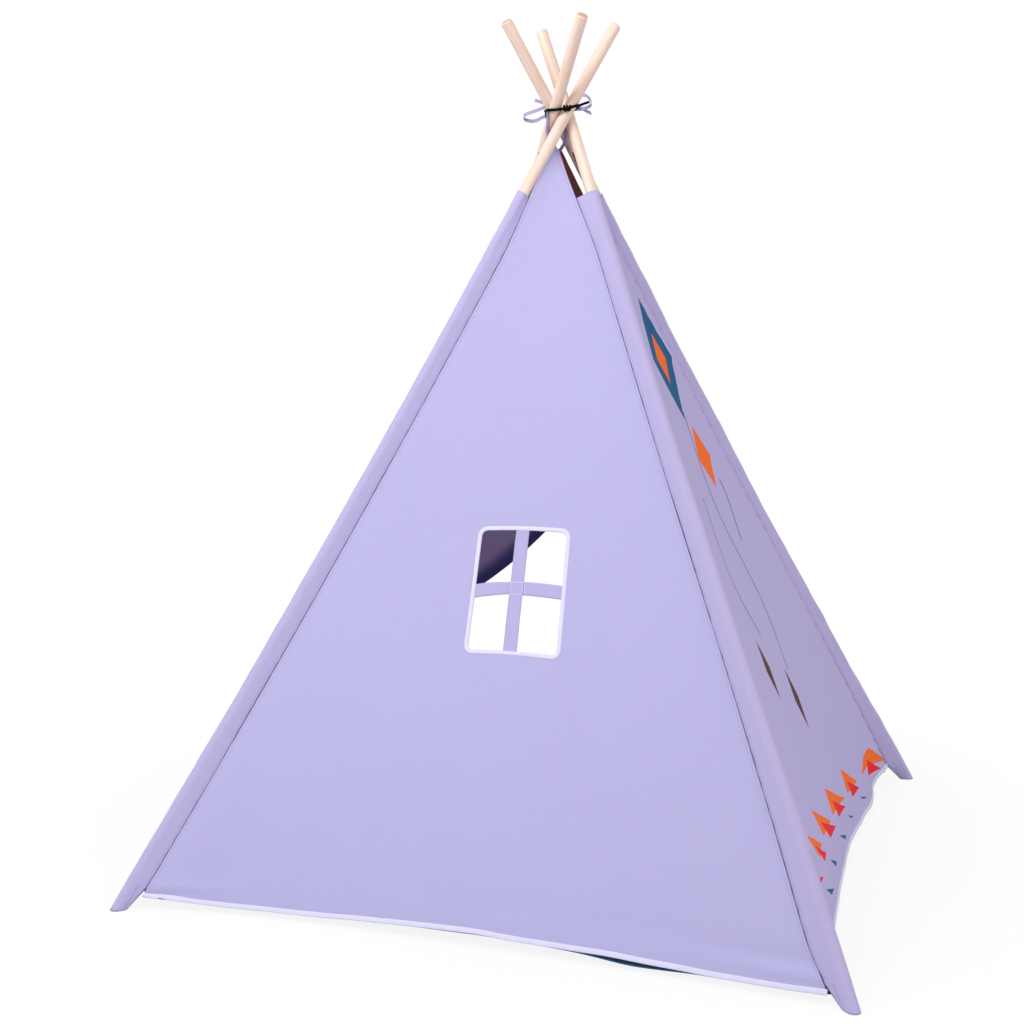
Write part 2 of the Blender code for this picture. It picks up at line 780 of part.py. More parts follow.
def build_sill(hub):
    """The binding along the floor sheet's edge across the doorway."""
    out = -UP.cross(wall_edge("door"))

    def place(across, up):
        spot = floor_edge_point("door", across * SILL_SPAN_SHARE)
        step = out * (HEM_CLOTH / 2 + SEAT_GAP)
        return Vector((spot.x, spot.y, spot.z + up * HEM_WIDTH / 2 - HEM_WIDTH / 4)) + step

    sheet("door_sill", WALL_COLUMNS, 1, place, HEM_CLOTH, binding_cloth, hub)


# Lashing, tapes and bow


def around_poles(height, clearance):
    """A taut slanting loop round the four poles, at this height in the middle."""
    flat = 1 / math.cos(TILT)
    points = []
    for i in range(CORD_POINTS):
        angle = math.tau * i / CORD_POINTS
        way = Vector((math.cos(angle), math.sin(angle), 0))
        spot = UP * height
        for settle in range(4):
            rise = height + CORD_SLANT_SHARE * spot.x
            contacts = []
            for corner in CORNERS:
                centre = pole_point(corner, to_along(rise))
                out = outward(corner) * (POLE_RADIUS * flat)
                side = sideways(corner) * POLE_RADIUS
                span = math.hypot(out.dot(way), side.dot(way))
                contacts.append(centre + out * (out.dot(way) / span) + side * (side.dot(way) / span))
            spot = max(contacts, key=lambda contact: contact.dot(way)) + way * clearance
        points.append(Vector((spot.x, spot.y, height + CORD_SLANT_SHARE * spot.x)))
    return points


def tube(name, points, diameter, cyclic):
    """A round cord along the points, as a mesh that Booleans can join."""
    curve = bpy.data.curves.new(name, "CURVE")
    curve.dimensions = "3D"
    curve.bevel_depth = diameter / 2
    curve.bevel_resolution = 2
    curve.use_fill_caps = True
    line = curve.splines.new("POLY")
    line.points.add(len(points) - 1)
    for spot, place in zip(line.points, points):
        spot.co = (*place, 1)
    line.use_cyclic_u = cyclic
    guide = bpy.data.objects.new(name, curve)
    cutters.objects.link(guide)
    bpy.context.view_layer.update()
    mesh = bpy.data.meshes.new_from_object(
        guide.evaluated_get(bpy.context.evaluated_depsgraph_get())
    )
    bpy.data.objects.remove(guide)
    work = bmesh.new()
    work.from_mesh(mesh)
    bmesh.ops.remove_doubles(work, verts=work.verts, dist=MERGE_DISTANCE)
    bmesh.ops.recalc_face_normals(work, faces=work.faces)
    work.to_mesh(mesh)
    work.free()
    return mesh


def build_lashing(hub):
    """The elastic cord round the crossing, its knot in front and its spare end at the right."""
    height = CROSSING_HEIGHT + CORD_RISE
    loop = around_poles(height, CORD_DIAMETER / 2 + CORD_CLEARANCE)
    base = hub.matrix_world.translation
    cord = add_object(
        "lashing_cord",
        tube("lashing_cord", [p - base for p in loop], CORD_DIAMETER, True),
        cord_black,
        hub,
    )
    front = min(loop, key=lambda point: point.y)
    work = bmesh.new()
    bmesh.ops.create_uvsphere(work, u_segments=12, v_segments=8, radius=1)
    for corner in work.verts:
        corner.co = Vector(
            (corner.co.x * KNOT_LENGTH, corner.co.y * KNOT_RADIUS, corner.co.z * KNOT_RADIUS)
        )
        corner.co += front - Vector((0, KNOT_RADIUS - CORD_DIAMETER / 2, 0))
    cut(cord, add_object("knot_form", mesh_from("knot_form", work)), "UNION")


def build_tape(wall, hub):
    """The tape from a wall's apex up to the lashing, behind one pole and beside the next."""
    edge = wall_edge(wall)
    out = -UP.cross(edge)
    top_along = apex_along(wall)
    top = wall_point(wall, 0, top_along)
    start = top + wall_slope(wall) * CLOTH_GAP
    ways = (edge, -out - edge * TAPE_TURN_SHARE)
    beside, away, up_share = TAPE_ROUTE[-1]
    reach = (edge * beside + out * away).x - abs(ways[1].normalized().x) * RIBBON_WIDTH / 2
    end_height = CROSSING_HEIGHT + CORD_RISE - CORD_DIAMETER / 2 - CLOTH_GAP + CORD_SLANT_SHARE * reach
    stops = [start]
    for beside, away, up_share in TAPE_ROUTE:
        height = UP * blend(start.z, end_height, up_share)
        stops.append(edge * beside + out * away + height)
    ribbon(f"apex_tape_{wall}", stops, ways, hub, ribbon_cloth)


def smooth_route(stops, share):
    """A point on a smooth curve through the stops."""
    spans = len(stops) - 1
    place = min(share * spans, spans - 1e-9)
    i = int(place)
    t = place - i
    before = stops[max(i - 1, 0)]
    after = stops[min(i + 2, spans)]
    p, q = stops[i], stops[i + 1]
    return 0.5 * (
        2 * p
        + (q - before) * t
        + (2 * before - 5 * p + 4 * q - after) * t * t
        + (3 * p - before - 3 * q + after) * t**3
    )


def ribbon(name, stops, ways, hub, finish):
    """A flat ribbon along a smooth route, its width turning from the first way to the second."""

    def place(across, up):
        share = (up + 1) / 2
        way = blend(ways[0], ways[1], share).normalized()
        return smooth_route(stops, share) + way * (RIBBON_WIDTH / 2 * across)

    return sheet(name, 1, RIBBON_STEPS, place, RIBBON_CLOTH, finish, hub)


def build_bow(hub):
    """The cover's ribbon, tied in a bow on the far side of the lashing."""
    base = hub.matrix_world.translation
    loop = around_poles(CROSSING_HEIGHT + CORD_RISE, CORD_DIAMETER + CORD_CLEARANCE + SEAT_GAP)
    back = max(loop, key=lambda point: point.y)
    middle = Vector((back.x, back.y + BOW_KNOT_DEPTH, back.z - base.z))
    work = bmesh.new()
    bmesh.ops.create_uvsphere(work, u_segments=12, v_segments=8, radius=1)
    for corner in work.verts:
        round_form = Vector((BOW_KNOT_WIDTH, BOW_KNOT_DEPTH, BOW_KNOT_HEIGHT))
        corner.co = corner.co * round_form + middle
    bow = add_object("ribbon_bow", mesh_from("ribbon_bow", work), ribbon_cloth, hub)
    for name, route in BOW_ROUTES.items():
        stops = [middle + base + Vector(stop) for stop in route]
        ways = (Vector(BOW_WAY), Vector(BOW_WAY))
        cut(bow, ribbon(f"bow_{name}", stops, ways, None, None), "UNION")


def clear_scene():
    for item in list(bpy.data.objects):
        bpy.data.objects.remove(item, do_unlink=True)


clear_scene()
model = bpy.data.collections.new("kids_teepee")
cutters = bpy.data.collections.new("cutters")
bpy.context.scene.collection.children.link(model)
bpy.context.scene.collection.children.link(cutters)

wood = material("pine", (236, 209, 192), 0.55)
steel = material("zinc_steel", (176, 178, 180), 0.35, 0.9)
wall_cloth = material("lavender_canvas", (184, 178, 222), 0.85)
sleeve_cloth = material("sleeve_canvas", (190, 182, 224), 0.85)
binding_cloth = material("pale_binding", (218, 216, 244), 0.8)
strap_cloth = material("strap_canvas", (178, 170, 216), 0.85)
floor_cloth = material("teal_floor_cloth", (30, 78, 118), 0.7)
cord_black = material("black_elastic", (18, 18, 20), 0.6)
ribbon_cloth = material("lavender_ribbon", (176, 166, 212), 0.6)

crossing = empty("crossing", Matrix.Translation(UP * CROSSING_HEIGHT))
for corner_name in CORNERS:
    build_sleeve(corner_name, build_pole(corner_name))

for wall_name in ("window", "right", "left"):
    wall_cover = build_wall(wall_name, crossing)
    build_hem(wall_name, crossing)
    if wall_name == "window":
        build_window(wall_cover, crossing)
build_door(crossing)
build_curtain("left", "door_left", crossing)
build_curtain("right", "door_right", crossing)
build_floor(crossing)
build_sill(crossing)
build_lashing(crossing)
build_bow(crossing)
for wall_name in WALLS:
    build_tape(wall_name, crossing)
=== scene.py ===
import json
import math
from functools import partial

import bmesh
import bpy
from mathutils import Matrix, Vector, noise


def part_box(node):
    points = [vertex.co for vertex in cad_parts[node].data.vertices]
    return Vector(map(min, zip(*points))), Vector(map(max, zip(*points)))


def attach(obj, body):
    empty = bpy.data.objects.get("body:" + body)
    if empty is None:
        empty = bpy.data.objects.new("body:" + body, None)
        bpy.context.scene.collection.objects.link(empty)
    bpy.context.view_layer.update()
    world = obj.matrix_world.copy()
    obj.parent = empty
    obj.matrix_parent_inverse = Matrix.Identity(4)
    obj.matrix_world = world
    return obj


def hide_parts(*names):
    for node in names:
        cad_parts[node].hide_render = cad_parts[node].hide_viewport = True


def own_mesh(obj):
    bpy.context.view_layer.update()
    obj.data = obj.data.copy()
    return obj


# A kids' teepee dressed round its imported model: canvas walls and sleeves, pine poles, a curtained
# door, a barred window, a coated floor sheet, an elastic lashing and a ribbon bow. Lengths are in
# metres. Along is measured up a pole from its foot, across runs from -1 to 1 between two seams.
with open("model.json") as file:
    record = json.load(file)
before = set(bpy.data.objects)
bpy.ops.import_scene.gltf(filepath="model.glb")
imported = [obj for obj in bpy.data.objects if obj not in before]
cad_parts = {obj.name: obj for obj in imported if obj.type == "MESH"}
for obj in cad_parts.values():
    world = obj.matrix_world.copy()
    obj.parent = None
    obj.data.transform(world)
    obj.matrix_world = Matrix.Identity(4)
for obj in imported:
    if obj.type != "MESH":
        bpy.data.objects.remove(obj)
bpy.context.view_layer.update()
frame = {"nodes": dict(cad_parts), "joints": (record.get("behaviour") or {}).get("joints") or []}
print("frame loaded:", len(frame["nodes"]), "nodes")

cameraView = {
    "place": (0.8183, -2.6692, 1.0428),
    "yaw": 0.3280,
    "pitch": -0.1528,
    "lens": 54.85,
    "sensor": 36.0,
}
tent = {
    "width": 1.200,
    "depth": 1.090,
    "crossing": 1.310,
    "poleRise": 0.185,
    "poleRadius": 0.010,
    "poleBow": 0.0145,
    "poleRounding": 0.0046,
    "poleHidden": 0.25,
    "canvas": 0.0012,
    "hemRise": 0.037,
    "hemWidth": 0.009,
    "hemThickness": 0.0028,
    "hemWobble": 0.0012,
    "apexHalfWidth": 0.004,
    "ribbonWidth": 0.0100,
    "ribbonThickness": 0.0007,
}
corners = {"window_left": (-1, -1), "window_right": (1, -1), "door_right": (1, 1), "door_left": (-1, 1)}
# each wall's left and right corner seen from outside
walls = {
    "window": ("window_left", "window_right"),
    "right": ("window_right", "door_right"),
    "door": ("door_right", "door_left"),
    "left": ("door_left", "window_left"),
}
# belly halfway up, how far the hem is drawn in and how high it hangs from the wall's left end to
# its right, and the soft fold beside the far sleeve
wallForms = {
    "window": {
        "belly": 0.010,
        "hemIn": (0.0, 0.026, 0.0355, 0.036, 0.0335, 0.030, 0.0265, 0.0225, 0.0165, 0.0095, 0.0),
        "hemUp": (0.0095, -0.0022, -0.0040, -0.0005, 0.0050, 0.0078, 0.0048, 0.0040, -0.0002, -0.0028, 0.0),
        "fold": 0.0,
        "seed": 3.0,
    },
    "right": {
        "belly": 0.022,
        "hemIn": (
            *(0.0, 0.0155, 0.0329, 0.0408, 0.0446, 0.0476, 0.0500, 0.0523, 0.0545, 0.0565, 0.0581),
            *(0.0585, 0.0571, 0.0540, 0.0507, 0.0472, 0.0411, 0.0432, 0.0453, 0.0361, 0.0216),
        ),
        "hemUp": (0.0,) * 17 + (0.002, 0.006, 0.013, 0.020),
        "fold": 0.007,
        "seed": 11.0,
    },
    "door": {"belly": 0.012, "hemIn": (0.0,) * 11, "hemUp": (0.0,) * 11, "fold": 0.0, "seed": 23.0},
    "left": {
        "belly": 0.022,
        "hemIn": (0.0, 0.036, 0.048, 0.054, 0.058, 0.060, 0.060, 0.056, 0.050, 0.038, 0.0),
        "hemUp": (0.0,) * 11,
        "fold": 0.007,
        "seed": 31.0,
    },
}
# the near pole's foot, and the window wall's top and lower right edge, stand to the left of true
footPull = {"corner": "window_right", "amount": 0.0070, "reach": 0.3}
lean = {
    "top": 0.0138,
    "topStart": 1.25,
    "topReach": 0.22,
    "foot": 0.0075,
    "footStart": 0.03,
    "footReach": 0.08,
    "fadeStart": 0.10,
    "fadeReach": 0.50,
}
# where the soft fold beside the far sleeve lies across its wall
softFold = {"across": 0.86, "width": 0.09}
# folds above the window wall's hem: across, its width, along, its width, lift
creases = (
    (0.96, 0.20, 0.074, 0.011, -0.0030),
    (0.96, 0.20, 0.052, 0.009, 0.0024),
    (-0.96, 0.07, 0.042, 0.006, -0.0026),
    (-0.92, 0.13, 0.057, 0.010, 0.0022),
    (0.30, 0.40, 0.085, 0.016, -0.0012),
)
# puckers where a wall is sewn to its sleeves, and the slow swell and finer drafts of slack canvas
slack = {
    "pucker": 0.00045,
    "puckerPitch": 0.034,
    "puckerReach": 0.026,
    "wander": 4.0,
    "wanderSize": 0.11,
    "shift": 1.7,
    "rumple": 2.6,
    "hold": 0.09,
    "swell": 0.0022,
    "swellSize": 0.22,
    "swellStretch": 2.2,
    "draft": 0.0009,
    "draftSize": 0.055,
    "draftStretch": 5.0,
}
up = Vector((0, 0, 1))
tilt = math.atan2(math.hypot(tent["width"], tent["depth"]) / 2, tent["crossing"])
poleLength = math.hypot(math.hypot(tent["width"], tent["depth"]) / 2, tent["crossing"])
pivots = {j["child"][5:]: Vector(j["pos_m"]) for j in frame["joints"] if j["child"].startswith("pole_")}


def blend(low, high, share):
    return low + (high - low) * share


def smoothStep(share):
    share = min(max(share, 0.0), 1.0)
    return share * share * (3 - 2 * share)


def outward(corner):
    xSide, ySide = corners[corner]
    return Vector((xSide * tent["width"], ySide * tent["depth"], 0)).normalized()


def sideways(corner):
    return up.cross(outward(corner))


def poleAxis(corner):
    return up * math.cos(tilt) - outward(corner) * math.sin(tilt)


def toAlong(height):
    return height / math.cos(tilt)


def bowAt(along):
    share = min(max(along / poleLength, 0.0), 1.0)
    return tent["poleBow"] * 4 * share * (1 - share)


def footShift(corner, along):
    amount = footPull["amount"] if corner == footPull["corner"] else 0.0
    return Vector((-amount * (1 - smoothStep(along / footPull["reach"])), 0, 0))


def polePoint(corner, along):
    spot = pivots[corner] + poleAxis(corner) * (along - poleLength) - outward(corner) * bowAt(along)
    return spot + footShift(corner, along)


def smoothRoute(stops, share):
    spans = len(stops) - 1
    place = min(max(share, 0.0) * spans, spans - 1e-9)
    i = int(place)
    t = place - i
    before, after = stops[max(i - 1, 0)], stops[min(i + 2, spans)]
    p, q = stops[i], stops[i + 1]
    bend = (2 * before - 5 * p + 4 * q - after) * t * t
    return 0.5 * (2 * p + (q - before) * t + bend + (3 * p - before - 3 * q + after) * t**3)


def fromTable(table, across):
    return smoothRoute(table, (across + 1) / 2)


def wallEdge(wall):
    (xLeft, yLeft), (xRight, yRight) = (corners[corner] for corner in walls[wall])
    return Vector((xRight - xLeft, yRight - yLeft, 0)).normalized()


def wallInward(wall):
    return up.cross(wallEdge(wall))


def wallSlope(wall):
    half = tent["depth"] / 2 if abs(wallEdge(wall).x) > 0.5 else tent["width"] / 2
    return (up * tent["crossing"] + wallInward(wall) * half).normalized()


def wallNormal(wall):
    return wallEdge(wall).cross(wallSlope(wall))


def slopeLength(wall):
    return tent["crossing"] / wallSlope(wall).z


# Sleeves: outer bend round the pole and reach to the seams, at the crossing and at the foot. The
# wall's edge is sewn in between the sleeve's two layers by seamTuck.
sleeve = {
    "radiusTop": 0.0118,
    "radiusFoot": 0.0130,
    "reachTop": 0.0200,
    "reachFoot": 0.0260,
    "mouthDrop": 0.159,
    "toeLength": {"window_left": 0.055, "window_right": 0.045, "door_right": 0.052, "door_left": 0.050},
    "toeRadius": 0.0118,
    "toeReach": 0.0140,
    "toeRings": 12,
    "slack": {"window_left": 0.8, "window_right": 0.8, "door_right": 2.0, "door_left": 1.5},
    "levels": 150,
    "arcSteps": 18,
    "flankSteps": 6,
    "backSteps": 4,
    "seamTuck": -0.0003,
    # faintSeam adds to the seam distance on the right wall's far seam, so the painted seam shade there is
    # weaker
    "faintSeam": 0.0009,
    "wander": 0.0007,
    "wanderSize": 0.045,
    "slow": 0.0009,
    "slowSize": 0.19,
    "pucker": 0.0004,
    "puckerPitch": 0.031,
    "puckerReach": 0.012,
}


def seamReach(along):
    return blend(sleeve["reachFoot"], sleeve["reachTop"], along / poleLength)


def seamDirection(corner, wall):
    edge = wallEdge(wall) if walls[wall][0] == corner else -wallEdge(wall)
    axis = poleAxis(corner)
    return (edge - axis * edge.dot(axis)).normalized()


def seamPoint(corner, wall, along, extra):
    return polePoint(corner, along) + seamDirection(corner, wall) * (seamReach(along) + extra)


def wallSpan(wall, along):
    left, right = (seamPoint(corner, wall, along, sleeve["seamTuck"]) for corner in walls[wall])
    return (left + right) / 2, (right - left) / 2


def apexAlong(wall):
    foot, top = (wallSpan(wall, along)[1].dot(wallEdge(wall)) for along in (0.0, poleLength))
    return poleLength * (foot - tent["apexHalfWidth"]) / (foot - top)


def hemAlong(wall, across):
    return tent["hemRise"] + fromTable(wallForms[wall]["hemUp"], across)


def sag(wall, across, along):
    form = wallForms[wall]
    share = min((along - tent["hemRise"]) / (apexAlong(wall) - tent["hemRise"]), 1.0)
    inside = form["belly"] * 4 * share * (1 - share) * (1 - across**2)
    inside += fromTable(form["hemIn"], across) * (1 - share) ** 6
    crease = math.exp(-(((across - softFold["across"]) / softFold["width"]) ** 2))
    return inside + form["fold"] * crease * share * (1 - share) * 4 * (1 - across**2)


def drawn(wall, across, along):
    shift = 0.0
    if wall == "window":
        low = smoothStep((along - lean["footStart"]) / lean["footReach"])
        low *= 1 - smoothStep((along - lean["fadeStart"]) / lean["fadeReach"])
        shift = lean["top"] * smoothStep((along - lean["topStart"]) / lean["topReach"])
        shift += lean["foot"] * low * ((across + 1) / 2) ** 2
    return wallInward(wall) * sag(wall, across, along) - wallEdge(wall) * shift


def wrinkle(wall, across, along):
    seed = wallForms[wall]["seed"]
    half = wallSpan(wall, along)[1].length
    fromSeam = (1 - abs(across)) * half
    side = slack["shift"] if across > 0 else 0.0
    wander = noise.noise(Vector((along / slack["wanderSize"], side, seed)))
    pucker = math.sin(math.tau * along / slack["puckerPitch"] + slack["wander"] * wander + side)
    rumple = slack["rumple"] if wall in ("right", "left") and across > 0 else 1.0
    lift = slack["pucker"] * rumple * pucker * math.exp(-fromSeam / slack["puckerReach"])
    hold = smoothStep(fromSeam / slack["hold"])
    for kind, shift in (("swell", 0), ("draft", 9)):
        size, stretch = slack[kind + "Size"], slack[kind + "Stretch"]
        spot = Vector((across * half / size, along / (size * stretch), seed + shift))
        lift += slack[kind] * noise.noise(spot) * hold
    if wall == "window":
        for middle, wide, height, tall, amount in creases:
            lift += amount * math.exp(-(((across - middle) / wide) ** 2) - ((along - height) / tall) ** 2)
    return lift


def wallPoint(wall, across, along, lift=0.0):
    middle, half = wallSpan(wall, along)
    out = lift + wrinkle(wall, across, along)
    return middle + half * across + wallNormal(wall) * out + drawn(wall, across, along)


# Window: sizes on the flat wall, and how the sewing has pulled its outline
window = {
    "width": 0.1608,
    "tall": 0.2160,
    "centre": Vector((0.01315, 0.5805, 0)),
    "corner": 0.016,
    "cornerSteps": 8,
    "lean": 0.0037,
    "topPull": (0.0025, 0.0014),
    "sillPull": 0.0028,
    "pullReach": 0.060,
    "binding": 0.0072,
    "bindingThickness": 0.0034,
    "strap": 0.0228,
    "strapThickness": 0.0010,
    "stitchInset": 0.0016,
    "uprightOffset": -0.0030,
    "levelArch": (0.0033, 0.0058, 0.0015),
}


def windowPull(beside, rise):
    x = (beside - window["centre"].x) / (window["width"] / 2)
    y = (rise - window["centre"].y) / (window["tall"] / 2)
    outX = max(abs(x) - 1, 0) * window["width"] / 2
    outY = max(abs(y) - 1, 0) * window["tall"] / 2
    fade = smoothStep(1 - math.hypot(outX, outY) / window["pullReach"])
    x, y = min(max(x, -1), 1), min(max(y, -1), 1)
    arch, drop = window["topPull"]
    top = arch * (1 - x * x) - drop * (1 - x)
    sill = window["sillPull"] * (1 - x * x)
    return -window["lean"] * y * (x + 1) / 2 * fade, ((1 + y) / 2 * top + (1 - y) / 2 * sill) * fade


def wallSpot(wall, beside, rise, lift=0.0):
    if wall == "window":
        pullX, pullY = windowPull(beside, rise)
        beside, rise = beside + pullX, rise + pullY
    along = rise * poleLength / slopeLength(wall)
    half = wallSpan(wall, along)[1].dot(wallEdge(wall))
    return wallPoint(wall, beside / half, along, lift)


# Materials

def linear(code):
    channels = [int(code[i : i + 2], 16) / 255 for i in (1, 3, 5)]
    return tuple(c / 12.92 if c <= 0.04045 else ((c + 0.055) / 1.055) ** 2.4 for c in channels) + (1.0,)


# adds a node with its settings and links; a maths node's operation follows its kind
def addNode(tree, kind, *values, out=0, **settings):
    kind, _, operation = kind.partition(" ")
    node = tree.nodes.new("ShaderNode" + kind)
    if operation:
        node.operation = operation
    for name, value in settings.items():
        setattr(node, name, value)
    inputs = values[0] if values and isinstance(values[0], dict) else dict(enumerate(values))
    for socket, value in inputs.items():
        if isinstance(value, bpy.types.NodeSocket):
            tree.links.new(value, node.inputs[socket])
        else:
            node.inputs[socket].default_value = value
    return node.outputs[out] if node.outputs else None


def paintOver(add, ground, *layers):
    for code, share in layers:
        ground = add("Mix", {0: share, 6: ground, 7: linear(code)}, out=2, data_type="RGBA")
    return ground


def newMaterial(name, roughness, paint, **inputs):
    made = bpy.data.materials.new(name)
    made.use_nodes = True
    tree = made.node_tree
    shader = tree.nodes["Principled BSDF"]
    shader.inputs["Roughness"].default_value = roughness
    for socket, value in inputs.items():
        shader.inputs[socket.replace("_", " ")].default_value = value
    add = partial(addNode, tree)
    colour, height, depth, strength = paint(add)
    tree.links.new(colour, shader.inputs["Base Color"])
    if depth:
        bump = add("Bump", {"Height": height, "Distance": depth, "Strength": strength})
        tree.links.new(bump, shader.inputs["Normal"])
    return made


# Plain-woven cotton canvas, dyed: sizes in millimetres. Its threads are finer than a pixel of the
# main view, so the slubs and faint clouds are what shows there, and light glows through it a little.
weave = {"pitch": 0.8, "slubLength": 14.0, "slubWidth": 1.6, "depth": 0.00012, "cloud": 160.0, "glow": 0.22}
# the painted shade line where cloth dives into a seam, and the row of stitches beside it
seamLook = {
    "seamShade": "#3A3560",
    "width": 0.0011,
    "place": 0.0050,
    "pitch": 0.0034,
    "dash": 0.72,
    "half": 0.0005,
    "thread": "#A9A3D2",
}


def canvasMaterial(name, base, shade, seams=False, paint=None, glow=weave["glow"]):
    def cloth(add):
        uv = add("UVMap", uv_map="cloth")
        u, v = (add("SeparateXYZ", uv, out=i) for i in (0, 1))
        perThread = math.tau / (weave["pitch"] / 1000)
        warp, weft = (add("Math SINE", add("Math MULTIPLY", way, perThread)) for way in (u, v))
        slubs = []
        for along, across in ((v, u), (u, v)):
            length = add("Math MULTIPLY", along, 1000 / weave["slubLength"])
            width = add("Math MULTIPLY", across, 1000 / weave["slubWidth"])
            spot = add("CombineXYZ", length, width)
            slubs.append(add("TexNoise", {"Vector": spot, "Scale": 1.0, "Detail": 2.0}, out="Fac"))
        slub = add("Math ADD", *slubs)
        cloud = add("TexNoise", {"Vector": uv, "Scale": 1000 / weave["cloud"], "Detail": 3.0}, out="Fac")
        tone = add("Math MULTIPLY_ADD", slub, 0.35, 0.02)
        tone = add("Math ADD", tone, add("Math MULTIPLY", cloud, 0.25), use_clamp=True)
        colour = paintOver(add, linear(shade), (base, tone))
        height = add("Math ADD", add("Math MULTIPLY", add("Math MULTIPLY", warp, weft), 0.35), slub)
        if paint:
            colour = paint(add, uv, colour)
        if seams:
            # painted shade along each seam where the cloth dives in, then the paler stitches beside it
            edge = add("Attribute", out="Fac", attribute_name="seamDistance")
            seamShade = add("MapRange", edge, seamLook["width"], 0.0, 0.0, 1.0)
            fromRow = add("Math ABSOLUTE", add("Math SUBTRACT", edge, seamLook["place"]))
            beat = add("Math FRACT", add("Math DIVIDE", v, seamLook["pitch"]))
            dash = add("Math LESS_THAN", beat, seamLook["dash"])
            stitch = add("Math MULTIPLY", add("Math LESS_THAN", fromRow, seamLook["half"]), dash)
            colour = paintOver(add, colour, (seamLook["seamShade"], seamShade), (seamLook["thread"], stitch))
            height = add("Math SUBTRACT", height, add("Math MULTIPLY", stitch, 3.0))
        return colour, height, weave["depth"], 0.6

    return newMaterial(
        name,
        0.95,
        cloth,
        Sheen_Weight=0.06,
        Sheen_Roughness=0.5,
        Specular_IOR_Level=0.12,
        Subsurface_Weight=glow,
        Subsurface_Radius=(1.0, 1.0, 1.0),
        Subsurface_Scale=0.004,
    )


# The print on the right wall: a plain border of triangles above the hem and kites on strings higher
# up, as shapes beside the wall's centre line and up its slope
printed = {
    "orange": "#FA7428",
    "red": "#F0242A",
    "teal": "#1C5F8C",
    "brown": "#5A3A34",
    "ink": "#2A2430",
    "border": (
        ("orange", ((0.434, 0.11), (0.501, 0.063), (0.294, 0.094))),
        ("orange", ((0.158, 0.152), (0.253, 0.095), (0.156, 0.102))),
        ("orange", ((-0.021, 0.173), (0.128, 0.102), (-0.019, 0.12))),
        ("orange", ((-0.196, 0.195), (-0.053, 0.122), (-0.16, 0.133))),
        ("orange", ((-0.318, 0.196), (-0.197, 0.134), (-0.258, 0.132))),
        ("red", ((0.408, 0.09), (0.471, 0.052), (0.38, 0.062))),
        ("red", ((0.179, 0.121), (0.254, 0.081), (0.187, 0.084))),
        ("red", ((0.013, 0.137), (0.118, 0.089), (0.036, 0.096))),
        ("red", ((-0.15, 0.156), (-0.022, 0.1), (-0.098, 0.106))),
        ("red", ((-0.274, 0.161), (-0.183, 0.112), (-0.214, 0.108))),
        ("red", ((-0.325, 0.125), (-0.278, 0.107), (-0.315, 0.111))),
        ("teal", ((0.236, 0.068), (0.288, 0.05), (0.262, 0.054))),
        ("teal", ((0.114, 0.072), (0.151, 0.058), (0.139, 0.057))),
        ("teal", ((-0.011, 0.078), (0.061, 0.052), (0.041, 0.05))),
        ("teal", ((-0.163, 0.092), (-0.102, 0.064), (-0.124, 0.063))),
        ("teal", ((-0.287, 0.088), (-0.203, 0.055), (-0.239, 0.058))),
    ),
    "kites": (
        ("teal", 0.072, 0.985, 0.060, 0.120),
        ("orange", 0.072, 0.985, 0.026, 0.050),
        ("orange", 0.100, 0.790, 0.040, 0.062),
        ("brown", 0.030, 0.330, 0.018, 0.060),
        ("brown", -0.095, 0.420, 0.018, 0.056),
    ),
    # bottom, top, place, sway, wave, width
    "strings": (
        (0.38, 0.88, 0.060, 0.020, 0.40, 0.0032),
        (0.47, 0.73, -0.060, 0.024, 0.34, 0.0032),
        (0.62, 0.74, 0.130, 0.012, 0.22, 0.0032),
    ),
}


def triangleMask(add, spot, points):
    middle = Vector((sum(p[0] for p in points) / 3, sum(p[1] for p in points) / 3))
    edges = []
    for (x1, y1), (x2, y2) in zip(points, points[1:] + points[:1]):
        side = Vector((y1 - y2, x2 - x1))
        offset = -side.dot(Vector((x1, y1)))
        if side.dot(middle) + offset < 0:
            side, offset = -side, -offset
        edges.append(add("VectorMath DOT_PRODUCT", spot, (side.x, side.y, offset), out="Value"))
    least = add("Math MINIMUM", add("Math MINIMUM", edges[0], edges[1]), edges[2])
    return add("Math GREATER_THAN", least, 0.0)


def diamondMask(add, x, y, centreX, centreY, half, tall):
    wide = add("Math ABSOLUTE", add("Math SUBTRACT", x, centreX))
    high = add("Math ABSOLUTE", add("Math SUBTRACT", y, centreY))
    slope = add("Math ADD", add("Math DIVIDE", wide, half), add("Math DIVIDE", high, tall))
    return add("Math LESS_THAN", slope, 1.0)


def lineMask(add, x, y, bottom, top, place, sway, wave, width):
    swing = add("Math SINE", add("Math MULTIPLY", y, math.tau / wave))
    middle = add("Math MULTIPLY_ADD", swing, sway, place)
    near = add("Math LESS_THAN", add("Math ABSOLUTE", add("Math SUBTRACT", x, middle)), width / 2)
    inside = add("Math MULTIPLY", add("Math GREATER_THAN", y, bottom), add("Math LESS_THAN", y, top))
    return add("Math MULTIPLY", near, inside)


def rightWallPrint(add, uv, ground):
    x, y = (add("SeparateXYZ", uv, out=i) for i in (0, 1))
    spot = add("CombineXYZ", x, y, 1.0)
    layers = [(printed["ink"], lineMask(add, x, y, *string)) for string in printed["strings"]]
    layers += [(printed[colour], diamondMask(add, x, y, *kite)) for colour, *kite in printed["kites"]]
    layers += [(printed[colour], triangleMask(add, spot, points)) for colour, points in printed["border"]]
    return paintOver(add, ground, *layers)


# the cover's inside: painted brown shade at the tent's top, its own mauve below, painted dusky blue shade
# along the curtains' edge, with the heights up the wall and above that edge at which each starts or fades
insideShade = {
    "brown": "#84483E",
    "brownStart": 1.02,
    "brownFull": 1.22,
    "edge": "#6F6CA2",
    "edgeStart": 0.020,
    "edgeFade": 0.050,
}


